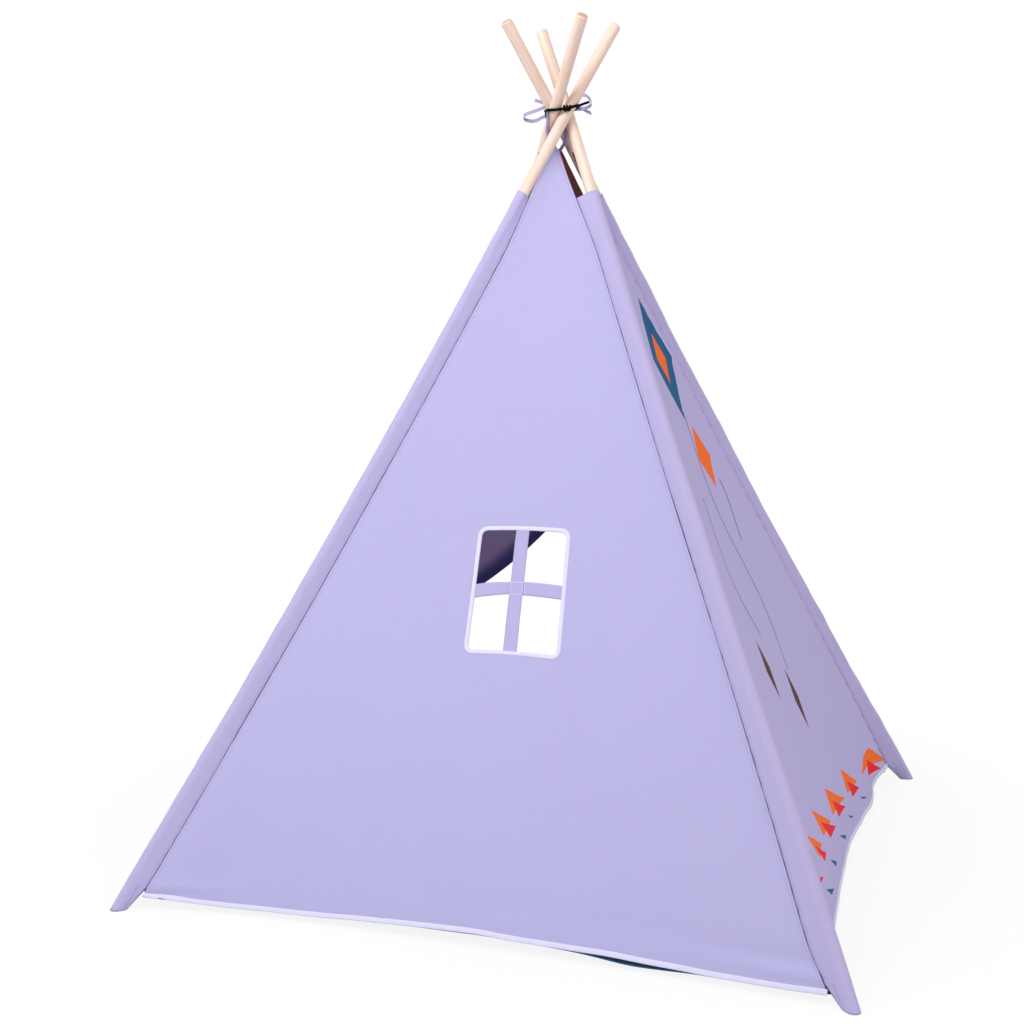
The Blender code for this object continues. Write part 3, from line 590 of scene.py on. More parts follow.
def paintedInsideShade(add, uv, ground):
    # painted brown shade towards the tent's top, then painted dusky blue shade along the curtains' edge
    top = add("MapRange", add("SeparateXYZ", uv, out=1), insideShade["brownStart"], insideShade["brownFull"])
    paintedEdgeShade = add("Attribute", out="Fac", attribute_name="paintedEdgeShade")
    return paintOver(add, ground, (insideShade["brown"], top), (insideShade["edge"], paintedEdgeShade))


# the square of paler thread that holds the straps together
def boxStitch(add, uv, ground):
    beside = add("Math ABSOLUTE", add("SeparateXYZ", uv))
    rise = add("Math ABSOLUTE", add("Math SUBTRACT", add("SeparateXYZ", uv, out=1), window["levelArch"][0]))
    half = window["strap"] / 2 - window["stitchInset"]
    fromSquare = add("Math SUBTRACT", add("Math MAXIMUM", beside, rise), half)
    row = add("Math LESS_THAN", add("Math ABSOLUTE", fromSquare), seamLook["half"])
    return paintOver(add, ground, ("#E2DEF6", add("Math MULTIPLY", row, 0.8)))


# Woven tape and ribbon: fine ribs across it, about a millimetre apart, that give a soft sheen
def tapeMaterial(name, base, shade, rib, roughness):
    def cloth(add):
        uv = add("UVMap", uv_map="cloth")
        ribs = add("Math SINE", add("Math MULTIPLY", add("SeparateXYZ", uv), math.tau * 1000 / rib))
        cloud = add("TexNoise", {"Vector": uv, "Scale": 90.0, "Detail": 2.0}, out="Fac")
        return paintOver(add, linear(shade), (base, cloud)), ribs, 0.00012, 0.5

    return newMaterial(name, roughness, cloth, Sheen_Weight=0.2, Sheen_Roughness=0.4)


# Coated polyester groundsheet: smoother than the canvas, with a dull shine and a grid of 1.4 mm
def floorCloth(add):
    uv = add("UVMap", uv_map="cloth")
    ways = [add("SeparateXYZ", uv, out=i) for i in (0, 1)]
    grid = [add("Math SINE", add("Math MULTIPLY", way, math.tau * 1000 / 1.4)) for way in ways]
    cloud = add("TexNoise", {"Vector": uv, "Scale": 9.0, "Detail": 3.0}, out="Fac")
    return paintOver(add, linear("#1E5C88"), ("#2A74A4", cloud)), add("Math ADD", *grid), 0.0001, 0.5


# Sanded bare pine dowel: pale, a little pink, with long straight grain 2 to 3 mm wide
def pine(add, spot, stretch):
    stretched = add("Mapping", {"Vector": spot, "Scale": stretch})
    grain = add("TexNoise", {"Vector": stretched, "Scale": 1.0, "Detail": 4.0, "Distortion": 0.6}, out="Fac")
    cloud = add("TexNoise", {"Vector": spot, "Scale": 14.0, "Detail": 2.0}, out="Fac")
    streaks = add("MapRange", grain, 0.38, 0.68)
    blush = add("MapRange", cloud, 0.45, 0.75, 0.0, 0.5)
    return paintOver(add, linear("#F4DFD1"), ("#E6C7B1", streaks), ("#E8BFA6", blush)), grain, 0.0001, 0.15


def shownPine(add):
    return pine(add, add("UVMap", uv_map="grain"), (420.0, 9.0, 1.0))


def hiddenPine(add):
    return pine(add, add("TexCoord", out="Object"), (260.0, 260.0, 14.0))


# A sanded pole end, which soaks up more tone than the long grain
def endGrain(add):
    spot = add("TexCoord", out="Object")
    grain = add("TexNoise", {"Vector": spot, "Scale": 420.0, "Detail": 3.0}, out="Fac")
    return paintOver(add, linear("#B98A70"), ("#DDB79E", grain)), grain, 0.0, 0.0


# Braided black elastic: matt, with a fine diagonal weave
def elastic(add):
    spot = add("TexCoord", out="Object")
    braid = add(
        "TexWave", {"Vector": spot, "Scale": 260.0, "Distortion": 3.0}, out="Fac", bands_direction="DIAGONAL"
    )
    return paintOver(add, linear("#040405"), ("#0E0E10", braid)), braid, 0.0003, 0.6


# Zinc-plated steel tube: grey, drawn lengthwise, with a soft shine
def zinc(add):
    spot = add("TexCoord", out="Object")
    cloud = add("TexNoise", {"Vector": spot, "Scale": 120.0, "Detail": 2.0}, out="Fac")
    return paintOver(add, linear("#A9ABAE"), ("#C2C4C6", cloud)), cloud, 0.0, 0.0


materials = {
    "wall": canvasMaterial("lavenderCanvas", "#C1BEE7", "#B5B1DD", True),
    "rightWall": canvasMaterial("printedCanvas", "#C4BDE6", "#B8B0DC", True, rightWallPrint, 0.0),
    "inside": canvasMaterial("canvasBackside", "#CCBBD8", "#C0AFCC", False, paintedInsideShade, 1.0),
    "sleeve": canvasMaterial("sleeveCanvas", "#C3BBE4", "#B7AFD9", True),
    "strap": canvasMaterial("strapCanvas", "#C1BAE5", "#B5AEDB", False, boxStitch),
    "binding": tapeMaterial("foldedBinding", "#E6E5FB", "#DCDAF6", 1.1, 0.8),
    "ribbon": tapeMaterial("wovenRibbon", "#B9B0DC", "#A9A0CE", 0.9, 0.6),
    "floor": newMaterial("coatedGroundsheet", 0.7, floorCloth, Specular_IOR_Level=0.2),
    "pole": newMaterial("sandedPine", 0.5, shownPine),
    "poleInside": newMaterial("sandedPineHidden", 0.5, hiddenPine),
    "poleEnd": newMaterial("pineEndGrain", 0.65, endGrain),
    "elastic": newMaterial("braidedElastic", 0.85, elastic, Specular_IOR_Level=0.1),
    "zinc": newMaterial("zincPlatedSteel", 0.32, zinc, Metallic=1.0),
}
print("materials made:", len(materials))


# Mesh helpers

def makePiece(name, bm, mats, thickness=0.0, inside=0, offset=0.0):
    mesh = bpy.data.meshes.new(name)
    bm.to_mesh(mesh)
    bm.free()
    piece = bpy.data.objects.new(name, mesh)
    bpy.context.scene.collection.objects.link(piece)
    for mat in mats:
        mesh.materials.append(materials[mat])
    mesh.shade_smooth()
    if thickness:
        skin = piece.modifiers.new("thickness", "SOLIDIFY")
        skin.thickness = thickness
        skin.offset = offset
        skin.material_offset = inside
        skin.material_offset_rim = 0
    return piece


# the way in which cloth draws together as the poles close, and what is left of its width
foldWays = {wall: ((1, 0, 0) if wall in ("window", "door") else (0, 1, 0), 0.07) for wall in walls}
foldWays["floor"] = ((1, 0, 0), 0.05)


def fit(piece, body, node, fold=None):
    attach(piece, body)
    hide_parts(node)
    if fold:
        axis, keep = foldWays[fold]
        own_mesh(piece)
        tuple(axis)
    return piece


def pieceName(kind, corner):
    return kind + corner.title().replace("_", "")


def clothArea(bm):
    return sum(f.calc_area() for f in bm.faces)


# turns an open sheet so that its faces look away from a point
def faceOutward(bm, middle):
    face = min(bm.faces, key=lambda f: -f.calc_area())
    face.normal_update()
    if face.normal.dot(face.calc_center_median() - middle) < 0:
        bmesh.ops.reverse_faces(bm, faces=bm.faces)


# gives each point of a flat sheet its place on the cut cloth, its distance from the seams and its
# place in space
def placeCloth(bm, place, flatPlace, seamAt=None):
    uvLayer = bm.loops.layers.uv.new("cloth")
    seamLayer = bm.verts.layers.float.new("seamDistance")
    for face in bm.faces:
        for loop in face.loops:
            loop[uvLayer].uv = flatPlace(loop.vert.co.x, loop.vert.co.y)
    for v in bm.verts:
        x, y = v.co.x, v.co.y
        v[seamLayer] = seamAt(x, y) if seamAt else 1.0
        v.co = place(x, y)
    return bm


def gridSheet(columns, rows, place, flatPlace, seamAt=None):
    bm = bmesh.new()
    bmesh.ops.create_grid(bm, x_segments=columns, y_segments=rows, size=1)
    return placeCloth(bm, place, flatPlace, seamAt)


# closer columns near the seams
def spread(across):
    return math.sin(across * math.pi / 2)


def windowOutline():
    inset = window["binding"] / 2
    corner = window["corner"] - inset
    points = []
    for quarter, (xSide, ySide) in enumerate(((1, 1), (-1, 1), (-1, -1), (1, -1))):
        for i in range(window["cornerSteps"] + 1):
            angle = math.radians(90) * (quarter + i / window["cornerSteps"])
            x = xSide * (window["width"] / 2 - inset - corner) + corner * math.cos(angle)
            y = ySide * (window["tall"] / 2 - inset - corner) + corner * math.sin(angle)
            points.append(Vector((x, y, 0)))
    return points


# cuts the flat cloth along the window's outline and takes the middle out
def cutWindow(bm):
    outline = [point + window["centre"] for point in windowOutline()]
    sides = list(zip(outline, outline[1:] + outline[:1]))
    reach = max(window["width"], window["tall"]) / 2 + 0.03
    for first, second in sides:
        near = [f for f in bm.faces if (f.calc_center_median() - window["centre"]).length < reach]
        edges = {e for f in near for e in f.edges}
        verts = {v for f in near for v in f.verts}
        away = Vector((second.y - first.y, first.x - second.x, 0))
        if away.length > 1e-6:
            geom = list(verts) + list(edges) + near
            bmesh.ops.bisect_plane(bm, geom=geom, dist=1e-6, plane_co=first, plane_no=away.normalized())
    sides = [(first, second) for first, second in sides if (second - first).length > 1e-6]
    inside = []
    for f in bm.faces:
        middle = f.calc_center_median()
        if min((second - first).cross(middle - first).z for first, second in sides) > 0:
            inside.append(f)
    bmesh.ops.delete(bm, geom=inside, context="FACES")


# Walls: one sheet of canvas each, closer rows near the hem, its lower edge tucked into the binding
wallCloth = {"columns": 96, "rows": 110, "rowPower": 1.4, "tuck": 0.005}


def makeWall(wall, mats):
    top = apexAlong(wall)
    toRise = slopeLength(wall) / poleLength

    def halfAt(along):
        return wallSpan(wall, along)[1].dot(wallEdge(wall))

    def seamAt(beside, rise):
        faint = sleeve["faintSeam"] if wall == "right" and beside > 0 else 0.0
        return halfAt(rise / toRise) - abs(beside) + faint

    bm = bmesh.new()
    bmesh.ops.create_grid(bm, x_segments=wallCloth["columns"], y_segments=wallCloth["rows"], size=1)
    for v in bm.verts:
        low = hemAlong(wall, spread(v.co.x)) - wallCloth["tuck"]
        along = blend(low, top, ((v.co.y + 1) / 2) ** wallCloth["rowPower"])
        v.co = Vector((spread(v.co.x) * halfAt(along), along * toRise, 0))
    if wall == "window":
        cutWindow(bm)
    placeCloth(bm, partial(wallSpot, wall), lambda beside, rise: (beside, rise), seamAt)
    faceOutward(bm, up * 0.5)
    piece = makePiece(f"{wall}Wall", bm, mats, tent["canvas"], 1)
    return fit(piece, f"{wall}_wall", f"{wall}_panel", wall)


# a folded tape along a line: a rounded flat section at each place, with its own directions
def bandAlong(name, places, width, thickness, closed):
    last = len(places) - 1
    run = [0.0]
    for (first, *_), (second, *_) in zip(places, places[1:]):
        run.append(run[-1] + (second - first).length)

    def place(x, y):
        centre, across, out = places[round((x + 1) / 2 * last)]
        turn = math.pi * (y + 1)
        wide = math.copysign(abs(math.cos(turn)) ** 0.7, math.cos(turn)) * width / 2
        deep = math.copysign(abs(math.sin(turn)) ** 0.6, math.sin(turn)) * thickness / 2
        return centre + across * wide + out * deep

    def flatPlace(x, y):
        return (run[round((x + 1) / 2 * last)], (y + 1) / 2 * width * 2)

    bm = gridSheet(last, 14, place, flatPlace)
    bmesh.ops.remove_doubles(bm, verts=bm.verts, dist=0.00002)
    if not closed:
        bmesh.ops.holes_fill(bm, edges=[e for e in bm.edges if e.is_boundary])
    bmesh.ops.recalc_face_normals(bm, faces=bm.faces)
    return makePiece(name, bm, ["binding"])


# The pale binding folded over a wall's lower edge
def makeHem(wall):
    count = 140
    places = []
    for i in range(count + 1):
        side = spread(2 * i / count - 1)
        wobble = tent["hemWobble"] * noise.noise(Vector((side * 9, 0.3, wallForms[wall]["seed"])))
        along = hemAlong(wall, side) - tent["hemWidth"] / 2 + wobble
        places.append((wallPoint(wall, side, along), wallSlope(wall), wallNormal(wall)))
    piece = bandAlong(f"{wall}Hem", places, tent["hemWidth"], tent["hemThickness"], False)
    return fit(piece, f"{wall}_wall", f"hem_{wall}", wall)


# The binding round the window
def makeWindowBinding():
    outline = windowOutline()
    fine = []
    for first, second in zip(outline, outline[1:] + outline[:1]):
        steps = max(1, round((second - first).length / 0.004))
        fine += [first.lerp(second, i / steps) for i in range(steps)]
    fine.append(fine[0])
    places = []
    for i, point in enumerate(fine):
        ahead = fine[(i + 1) % (len(fine) - 1)] - fine[i - 1 if i else -2]
        side = Vector((ahead.y, -ahead.x, 0)).normalized()
        spot = point + window["centre"]
        at = wallSpot("window", spot.x, spot.y)
        outside = spot + side * 0.002
        across = (wallSpot("window", outside.x, outside.y) - at).normalized()
        places.append((at, across, wallNormal("window")))
    piece = bandAlong("windowBinding", places, window["binding"], window["bindingThickness"], True)
    return fit(piece, "window_wall", "window_binding", "window")


# The two straps that cross in the window, one in front of the other
def makeStraps():
    reachX = window["width"] / 2 - window["binding"] * 0.6
    reachY = window["tall"] / 2 - window["binding"] * 0.6
    layer = window["strapThickness"] * 0.75
    centre = window["centre"]

    def upright(acrossShare, rise):
        beside = centre.x + window["uprightOffset"] + acrossShare * window["strap"] / 2
        beside += 0.0008 * noise.noise(Vector((rise * 2, 1.5, 4.0)))
        return wallSpot("window", beside, centre.y + rise * reachY, layer)

    def level(acrossShare, rise):
        narrow = 1 - 0.10 * math.exp(-(((acrossShare + 0.2) / 0.25) ** 2))
        middle, left, right = window["levelArch"]
        waver = middle - (left if acrossShare < 0 else right) * acrossShare**2
        place = centre.y + rise * window["strap"] / 2 * narrow + waver
        return wallSpot("window", centre.x + acrossShare * reachX, place, -layer)

    for way, place, columns, rows, wide, tall in (
        ("upright", upright, 8, 60, window["strap"], reachY * 2),
        ("level", level, 48, 8, reachX * 2, window["strap"]),
    ):
        bm = gridSheet(columns, rows, place, lambda a, r, w=wide, t=tall: (a * w / 2, r * t / 2))
        faceOutward(bm, up * 0.5)
        strap = makePiece(f"windowStrap{way.title()}", bm, ["strap"], window["strapThickness"])
        fit(strap, "window_wall", f"window_strap_{way}", "window")


# points round a sleeve from the middle of its back, and each one's distance from the seams
def sleeveOutline(corner, along, radius, reach):
    axis, side = poleAxis(corner), sideways(corner)
    out = side.cross(axis)
    seams = []
    for wall, ends in walls.items():
        if corner in ends:
            direction = seamDirection(corner, wall)
            edge = direction * reach + drawn(wall, -1 if ends[0] == corner else 1, along)
            seams.append((math.atan2(direction.dot(side), direction.dot(out)), edge))
    seams.sort(key=lambda item: item[0])
    (lowAngle, lowSeam), (highAngle, highSeam) = seams
    turn = math.acos(min(radius / reach, 1.0))

    def onArc(share):
        angle = blend(lowAngle + turn, highAngle - turn, share)
        return (out * math.cos(angle) + side * math.sin(angle)) * radius

    def line(first, second, steps, end=0):
        return [first.lerp(second, i / steps) for i in range(steps + end)]

    back = (lowSeam + highSeam) / 2
    points = line(back, lowSeam, sleeve["backSteps"]) + line(lowSeam, onArc(0), sleeve["flankSteps"])
    points += [onArc(i / sleeve["arcSteps"]) for i in range(sleeve["arcSteps"])]
    points += line(onArc(1), highSeam, sleeve["flankSteps"]) + line(highSeam, back, sleeve["backSteps"], 1)
    centre = polePoint(corner, along)
    faint = sleeve["faintSeam"] if corner == "door_right" else 0.0
    distance = [faint + min((p - lowSeam).length, (p - highSeam).length) for p in points]
    return [centre + p for p in points], distance


# The canvas tube round a pole: slack puckers along it, flat seams and a narrow closed toe
def makeSleeve(corner):
    top = poleLength - sleeve["mouthDrop"]
    toeLength = sleeve["toeLength"][corner]
    seed = sum(ord(letter) for letter in corner) * 0.37
    rings = []
    for k in range(sleeve["levels"] + 1):
        along = blend(toeLength, top, k / sleeve["levels"])
        radius = blend(sleeve["radiusFoot"], sleeve["radiusTop"], along / poleLength)
        ring, distance = sleeveOutline(corner, along, radius, seamReach(along))
        centre = polePoint(corner, along)
        loose = smoothStep((along - 0.02) / 0.06) * smoothStep((top - along) / 0.03) * sleeve["slack"][corner]
        for j, point in enumerate(ring):
            turn = math.tau * j / (len(ring) - 1)
            wander = noise.noise(Vector((math.cos(turn) * 1.3, along / sleeve["wanderSize"], seed)))
            slow = noise.noise(Vector((math.sin(turn), along / sleeve["slowSize"], seed + 5)))
            pucker = math.sin(math.tau * along / sleeve["puckerPitch"] + 5 * slow)
            pucker *= math.exp(-distance[j] / sleeve["puckerReach"])
            away = (point - centre).normalized()
            puff = sleeve["wander"] * wander + sleeve["slow"] * slow + sleeve["pucker"] * pucker
            ring[j] = point + away * (loose * puff)
        rings.append((ring, distance, along))
    toe, distance = sleeveOutline(corner, 0.0, sleeve["toeRadius"], sleeve["toeReach"])
    centre, axis = polePoint(corner, 0.0), poleAxis(corner)
    toe = [centre + (p - centre).normalized() * min((p - centre).length, sleeve["toeReach"]) for p in toe]
    toe = [p - axis * ((p.z - 0.0004) / axis.z) for p in toe]
    toes = []
    for i in range(sleeve["toeRings"]):
        share = i / sleeve["toeRings"]
        ring = [low.lerp(high, share) for low, high in zip(toe, rings[0][0])]
        toes.append((ring, distance, toeLength * share))
    rings = toes + rings
    columns, rows = len(toe) - 1, len(rings) - 1

    def at(x, y):
        return round((x + 1) / 2 * columns), rings[round((y + 1) / 2 * rows)]

    def place(x, y):
        i, (ring, _, _) = at(x, y)
        return ring[i]

    def flatPlace(x, y):
        i, (_, _, along) = at(x, y)
        return (i * 0.0032, along)

    def seamAt(x, y):
        i, (_, distance, _) = at(x, y)
        return distance[i]

    bm = gridSheet(columns, rows, place, flatPlace, seamAt)
    bmesh.ops.remove_doubles(bm, verts=bm.verts, dist=0.00002)
    bmesh.ops.holes_fill(bm, edges=[e for e in bm.edges if e.is_boundary and e.verts[0].co.z < 0.01])
    bmesh.ops.recalc_face_normals(bm, faces=bm.faces)
    faceOutward(bm, polePoint(corner, top / 2))
    piece = makePiece(pieceName("sleeve", corner), bm, ["sleeve"], tent["canvas"], 0, -1.0)
    fit(piece, f"pole_{corner}", f"sleeve_{corner}")
    girth = sum((b - a).length for a, b in zip(rings[40][0], rings[40][0][1:]))


# Door: heights above the floor, the drape of its tied-back curtains, their tails and their bands
door = {
    "slitTop": 0.660,
    "tieHeight": 0.300,
    "drapePower": 1.07,
    "drapeDepth": 0.013,
    "drapeReach": 0.330,
    "drapeFolds": 3.5,
    "fineDrape": 0.22,
    "fineFolds": 14.0,
    "fineShift": 1.3,
    "tailGap": 0.0032,
    "tailNeck": 0.046,
    "tailFoot": 0.118,
    "pleatNeck": 0.008,
    "pleatFoot": 0.016,
    "pleats": 2.5,
    "bandWidth": 0.022,
    "bandReach": 0.054,
    "bandStart": 0.0020,
    "bandHalfDepth": 0.0165,
    "bandThickness": 0.0013,
}


def doorEdge(across):
    share = 1 - (1 - abs(across)) ** door["drapePower"]
    return toAlong(blend(door["slitTop"], door["tieHeight"], share))


# folds that run from each tie up into the wall, with a finer set between them
def drape(beside, height):
    half = wallSpan("door", toAlong(door["tieHeight"]))[1].length
    reach = math.hypot(half - abs(beside), height - door["tieHeight"])
    angle = math.atan2(height - door["tieHeight"], half - abs(beside))
    fade = max(0.0, 1 - reach / door["drapeReach"])
    near = min(1.0, reach / door["tailNeck"])
    main = math.sin(2 * door["drapeFolds"] * angle)
    fine = door["fineDrape"] * math.sin(door["fineFolds"] * angle + door["fineShift"]) * near
    return door["drapeDepth"] * fade * near * (main + fine)


# The door wall: cut away below the curtains' edge, along which its inside gets a painted dusky blue shade
def makeDoor():
    top = apexAlong("door")
    toRise = slopeLength("door") / poleLength

    def at(share, rise):
        across = math.copysign(abs(share) ** 0.9, share)
        along = blend(doorEdge(across), top, ((rise + 1) / 2) ** 1.3)
        return across, along, wallSpan("door", along)[1].length

    def place(share, rise):
        across, along, half = at(share, rise)
        spot = wallPoint("door", across, along)
        return spot + wallNormal("door") * (drape(across * half, spot.z) * (1 - across**8))

    def flatPlace(share, rise):
        across, along, half = at(share, rise)
        return (across * half, along * toRise)

    def seamAt(share, rise):
        across, along, half = at(share, rise)
        return (1 - abs(across)) * half

    bm = gridSheet(160, 110, place, flatPlace, seamAt)
    # how much painted dusky blue shade each point of the inside gets, full at the curtains' edge and fading
    # above it
    paintedEdgeShade = bm.verts.layers.float.new("paintedEdgeShade")
    uvLayer = bm.loops.layers.uv["cloth"]
    for v in bm.verts:
        beside, rise = v.link_loops[0][uvLayer].uv
        edge = doorEdge(min(abs(beside) / wallSpan("door", rise / toRise)[1].length, 1)) * toRise
        v[paintedEdgeShade] = 1 - smoothStep((rise - edge - insideShade["edgeStart"]) / insideShade["edgeFade"])
    faceOutward(bm, up * 0.5)
    area = clothArea(bm)
    piece = makePiece("doorWall", bm, ["wall", "inside"], tent["canvas"], 1)
    fit(piece, "door_wall", "door_panel", "door")
    size = (2 * wallSpan("door", toAlong(door["tieHeight"]))[1].length, (top - doorEdge(1)) * toRise)


def fromSleeve(corner):
    return wallEdge("door") if walls["door"][0] == corner else -wallEdge("door")


# The pleated tail of a curtain below its tie
def makeCurtain(side, corner):
    inward, normal = fromSleeve(corner), wallNormal("door")
    high = toAlong(door["tieHeight"]) - door["tailGap"]

    def place(across, rise):
        share = (rise + 1) / 2
        start = seamPoint(corner, "door", blend(tent["hemRise"], high, share), sleeve["seamTuck"])
        wide = blend(door["tailFoot"], door["tailNeck"], share**0.7)
        deep = blend(door["pleatFoot"], door["pleatNeck"], share**0.7)
        out = (across + 1) / 2
        wave = math.sin(math.tau * door["pleats"] * out) * min(1.0, out / 0.25) ** 2
        fine = 0.12 * math.sin(math.tau * 7 * out + share * 2) * min(1.0, out / 0.25)
        return start + inward * (wide * out) + normal * (deep * (wave * 0.95 + fine))

    def flatPlace(across, rise):
        return ((across + 1) * 0.14, (rise + 1) * (high - tent["hemRise"]) / 2)

    bm = gridSheet(110, 44, place, flatPlace)
    area = clothArea(bm)
    faceOutward(bm, up * 0.2)
    piece = makePiece(f"curtain{side.title()}", bm, ["wall", "inside"], tent["canvas"], 1)
    fit(piece, f"curtain_{side}", f"curtain_{side}", "door")


# The canvas band round a gathered curtain, sewn down beside the sleeve
def makeTie(side, corner):
    inward, normal = fromSleeve(corner), wallNormal("door")
    seat = (tent["canvas"] + door["bandThickness"]) / 2 + 0.0004
    sweep = math.pi - math.asin(seat / door["bandHalfDepth"])

    def place(across, rise):
        along = toAlong(door["tieHeight"]) + rise * door["bandWidth"] / 2
        turn = sweep * across
        beside = door["bandReach"] / 2 * (1 + math.cos(turn))
        pinch = 1 - 0.05 * math.cos(turn * 3) * rise
        start = seamPoint(corner, "door", along, door["bandStart"])
        return start + inward * beside + normal * (door["bandHalfDepth"] * math.sin(turn) * pinch)

    bm = gridSheet(64, 6, place, lambda across, rise: (across * 0.07, rise * door["bandWidth"] / 2))
    area = clothArea(bm)
    bmesh.ops.recalc_face_normals(bm, faces=bm.faces)
    piece = makePiece(f"tie{side.title()}", bm, ["strap"], door["bandThickness"])
    fit(piece, "door_wall", f"tie_back_{side}", "door")


# Floor sheet: flat inside, turned up to the hems, with a slump where the window side's seam hangs lower
floorSheet = {
    "turnUp": 0.090,
    "steps": 150,
    "thickness": 0.0012,
    "sillRise": 0.014,
    "under": -0.0012,
    "slump": 0.0082,
    "slumpAcross": 0.47,
    "slumpWidth": 0.15,
    "ripple": 0.0026,
    "lift": 0.0004,
    "settle": 0.0006,
    "reach": 0.95,
    "cornerTuck": 0.975,
    "cornerShare": 0.02,
}


def floorEdge(wall, across):
    spot = wallPoint(wall, across, hemAlong(wall, across) - tent["hemWidth"])
    if wall == "door":
        return Vector((spot.x, spot.y, floorSheet["sillRise"]))
    drop = floorSheet["under"]
    if wall == "window":
        beside = (across - floorSheet["slumpAcross"]) / floorSheet["slumpWidth"]
        drop += floorSheet["slump"] * math.exp(-(beside**2))
        drop += floorSheet["ripple"] * max(0.0, noise.noise(Vector((across * 5.5, 0.4, 7.0))))
    return spot - up * drop


def makeFloor():
    def edgeAt(wall, share):
        return floorEdge(wall, blend(-floorSheet["reach"], floorSheet["reach"], share))

    nearLeft = edgeAt("left", 1).lerp(edgeAt("window", 0), 0.5) * floorSheet["cornerTuck"]
    nearRight = edgeAt("window", 1).lerp(edgeAt("right", 0), 0.5) * floorSheet["cornerTuck"]
    farRight = (edgeAt("right", 1) + edgeAt("door", 0)) / 2
    farLeft = (edgeAt("door", 1) + edgeAt("left", 0)) / 2

    def curve(wall, first, second, share):
        end = floorSheet["cornerShare"]
        if share < end:
            return first.lerp(edgeAt(wall, 0), share / end)
        if share > 1 - end:
            return edgeAt(wall, 1).lerp(second, (share - 1 + end) / end)
        return edgeAt(wall, (share - end) / (1 - 2 * end))

    def place(x, y):
        u, v = (spread(x) + 1) / 2, (spread(y) + 1) / 2
        low = curve("window", nearLeft, nearRight, u)
        high = curve("door", farRight, farLeft, 1 - u)
        left = curve("left", farLeft, nearLeft, 1 - v)
        right = curve("right", nearRight, farRight, v)
        spot = low.lerp(high, v) + left.lerp(right, u)
        spot -= nearLeft.lerp(nearRight, u).lerp(farLeft.lerp(farRight, u), v)
        rise = 0.0
        for edge, away in (
            (low, v * tent["depth"]),
            (high, (1 - v) * tent["depth"]),
            (left, u * tent["width"]),
            (right, (1 - u) * tent["width"]),
        ):
            rise = max(rise, edge.z * max(0.0, 1 - away / floorSheet["turnUp"]) ** 1.4)
        settle = floorSheet["settle"] * noise.noise(Vector((spot.x * 7, spot.y * 7, 2.0)))
        laid = floorSheet["thickness"] / 2 + floorSheet["lift"] + settle
        return Vector((spot.x, spot.y, max(rise, laid)))

    def flatPlace(x, y):
        return (spread(x) * tent["width"] / 2, spread(y) * tent["depth"] / 2)

    bm = gridSheet(floorSheet["steps"], floorSheet["steps"], place, flatPlace)
    area = clothArea(bm)
    piece = makePiece("floorSheet", bm, ["floor"], floorSheet["thickness"])
    fit(piece, "floor", "floor_sheet", "floor")
    out = -wallInward("door")
    places = [(floorEdge("door", blend(0.985, -0.985, i / 100)) + out * 0.001, up, out) for i in range(101)]
    sill = bandAlong("doorSill", places, tent["hemWidth"], tent["hemThickness"], False)
    fit(sill, "floor", "door_sill", "floor")


# The upper pole section that shows: a turned dowel with a softly rounded tip
def makePole(corner):
    low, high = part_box(f"pole_{corner}_upper")
    axis = poleAxis(corner)
    bottom = poleLength + tent["poleRise"] - (high.z - low.z) / axis.z
    bottom = max(bottom, poleLength - sleeve["mouthDrop"] - tent["poleHidden"])
    top = poleLength + tent["poleRise"] - 0.0001
    radius = tent["poleRadius"]
    rounding = tent["poleRounding"]
    profile = [(0.0, bottom), (radius - 0.0005, bottom), (radius, bottom + 0.0005)]
    profile += [(radius, blend(bottom, top - rounding, i / 24)) for i in range(1, 24)]
    for i in range(9):
        angle = math.radians(90) * i / 8
        wide, tall = rounding * math.cos(angle), rounding * math.sin(angle)
        profile.append((radius - rounding + wide, top - rounding + tall))
    profile.append((0.0, top))
    bm = bmesh.new()
    verts = [bm.verts.new((r, 0, z)) for r, z in profile]
    geom = verts + [bm.edges.new(pair) for pair in zip(verts, verts[1:])]
    bmesh.ops.spin(bm, geom=geom, cent=(0, 0, 0), axis=(0, 0, 1), angle=math.tau, steps=40, use_merge=True)
    bmesh.ops.remove_doubles(bm, verts=bm.verts, dist=0.00001)
    bmesh.ops.recalc_face_normals(bm, faces=bm.faces)
    uvLayer = bm.loops.layers.uv.new("grain")
    shift = sum(ord(letter) for letter in corner) * 0.013
    for face in bm.faces:
        middle = face.calc_center_median()
        base = math.atan2(middle.y, middle.x)
        for loop in face.loops:
            co = loop.vert.co
            turn = math.atan2(co.y, co.x)
            turn += math.tau * round((base - turn) / math.tau)
            loop[uvLayer].uv = (turn * radius + shift, co.z + shift)
        if middle.z > top - rounding * 0.35:
            face.material_index = 1
    for v in bm.verts:
        v.co += Vector((-math.cos(tilt), 0, math.sin(tilt))) * bowAt(v.co.z)
    side = sideways(corner)
    turn = Matrix((side.cross(axis), side, axis)).transposed().to_4x4()
    place = Matrix.Translation(pivots[corner]) @ turn @ Matrix.Translation((0, 0, -poleLength))
    bmesh.ops.transform(bm, matrix=place, verts=bm.verts)
    piece = makePiece(pieceName("pole", corner), bm, ["pole", "poleEnd"])
    fit(piece, f"pole_{corner}", f"pole_{corner}_upper")
    for kind, part, mat in (
        ("pole", "lower", "poleInside"),
        ("pole", "middle", "poleInside"),
        ("ferrule", "lower", "zinc"),
        ("ferrule", "upper", "zinc"),
    ):
        frame["nodes"][f"{kind}_{corner}_{part}"].material_slots[0].material = materials[mat]


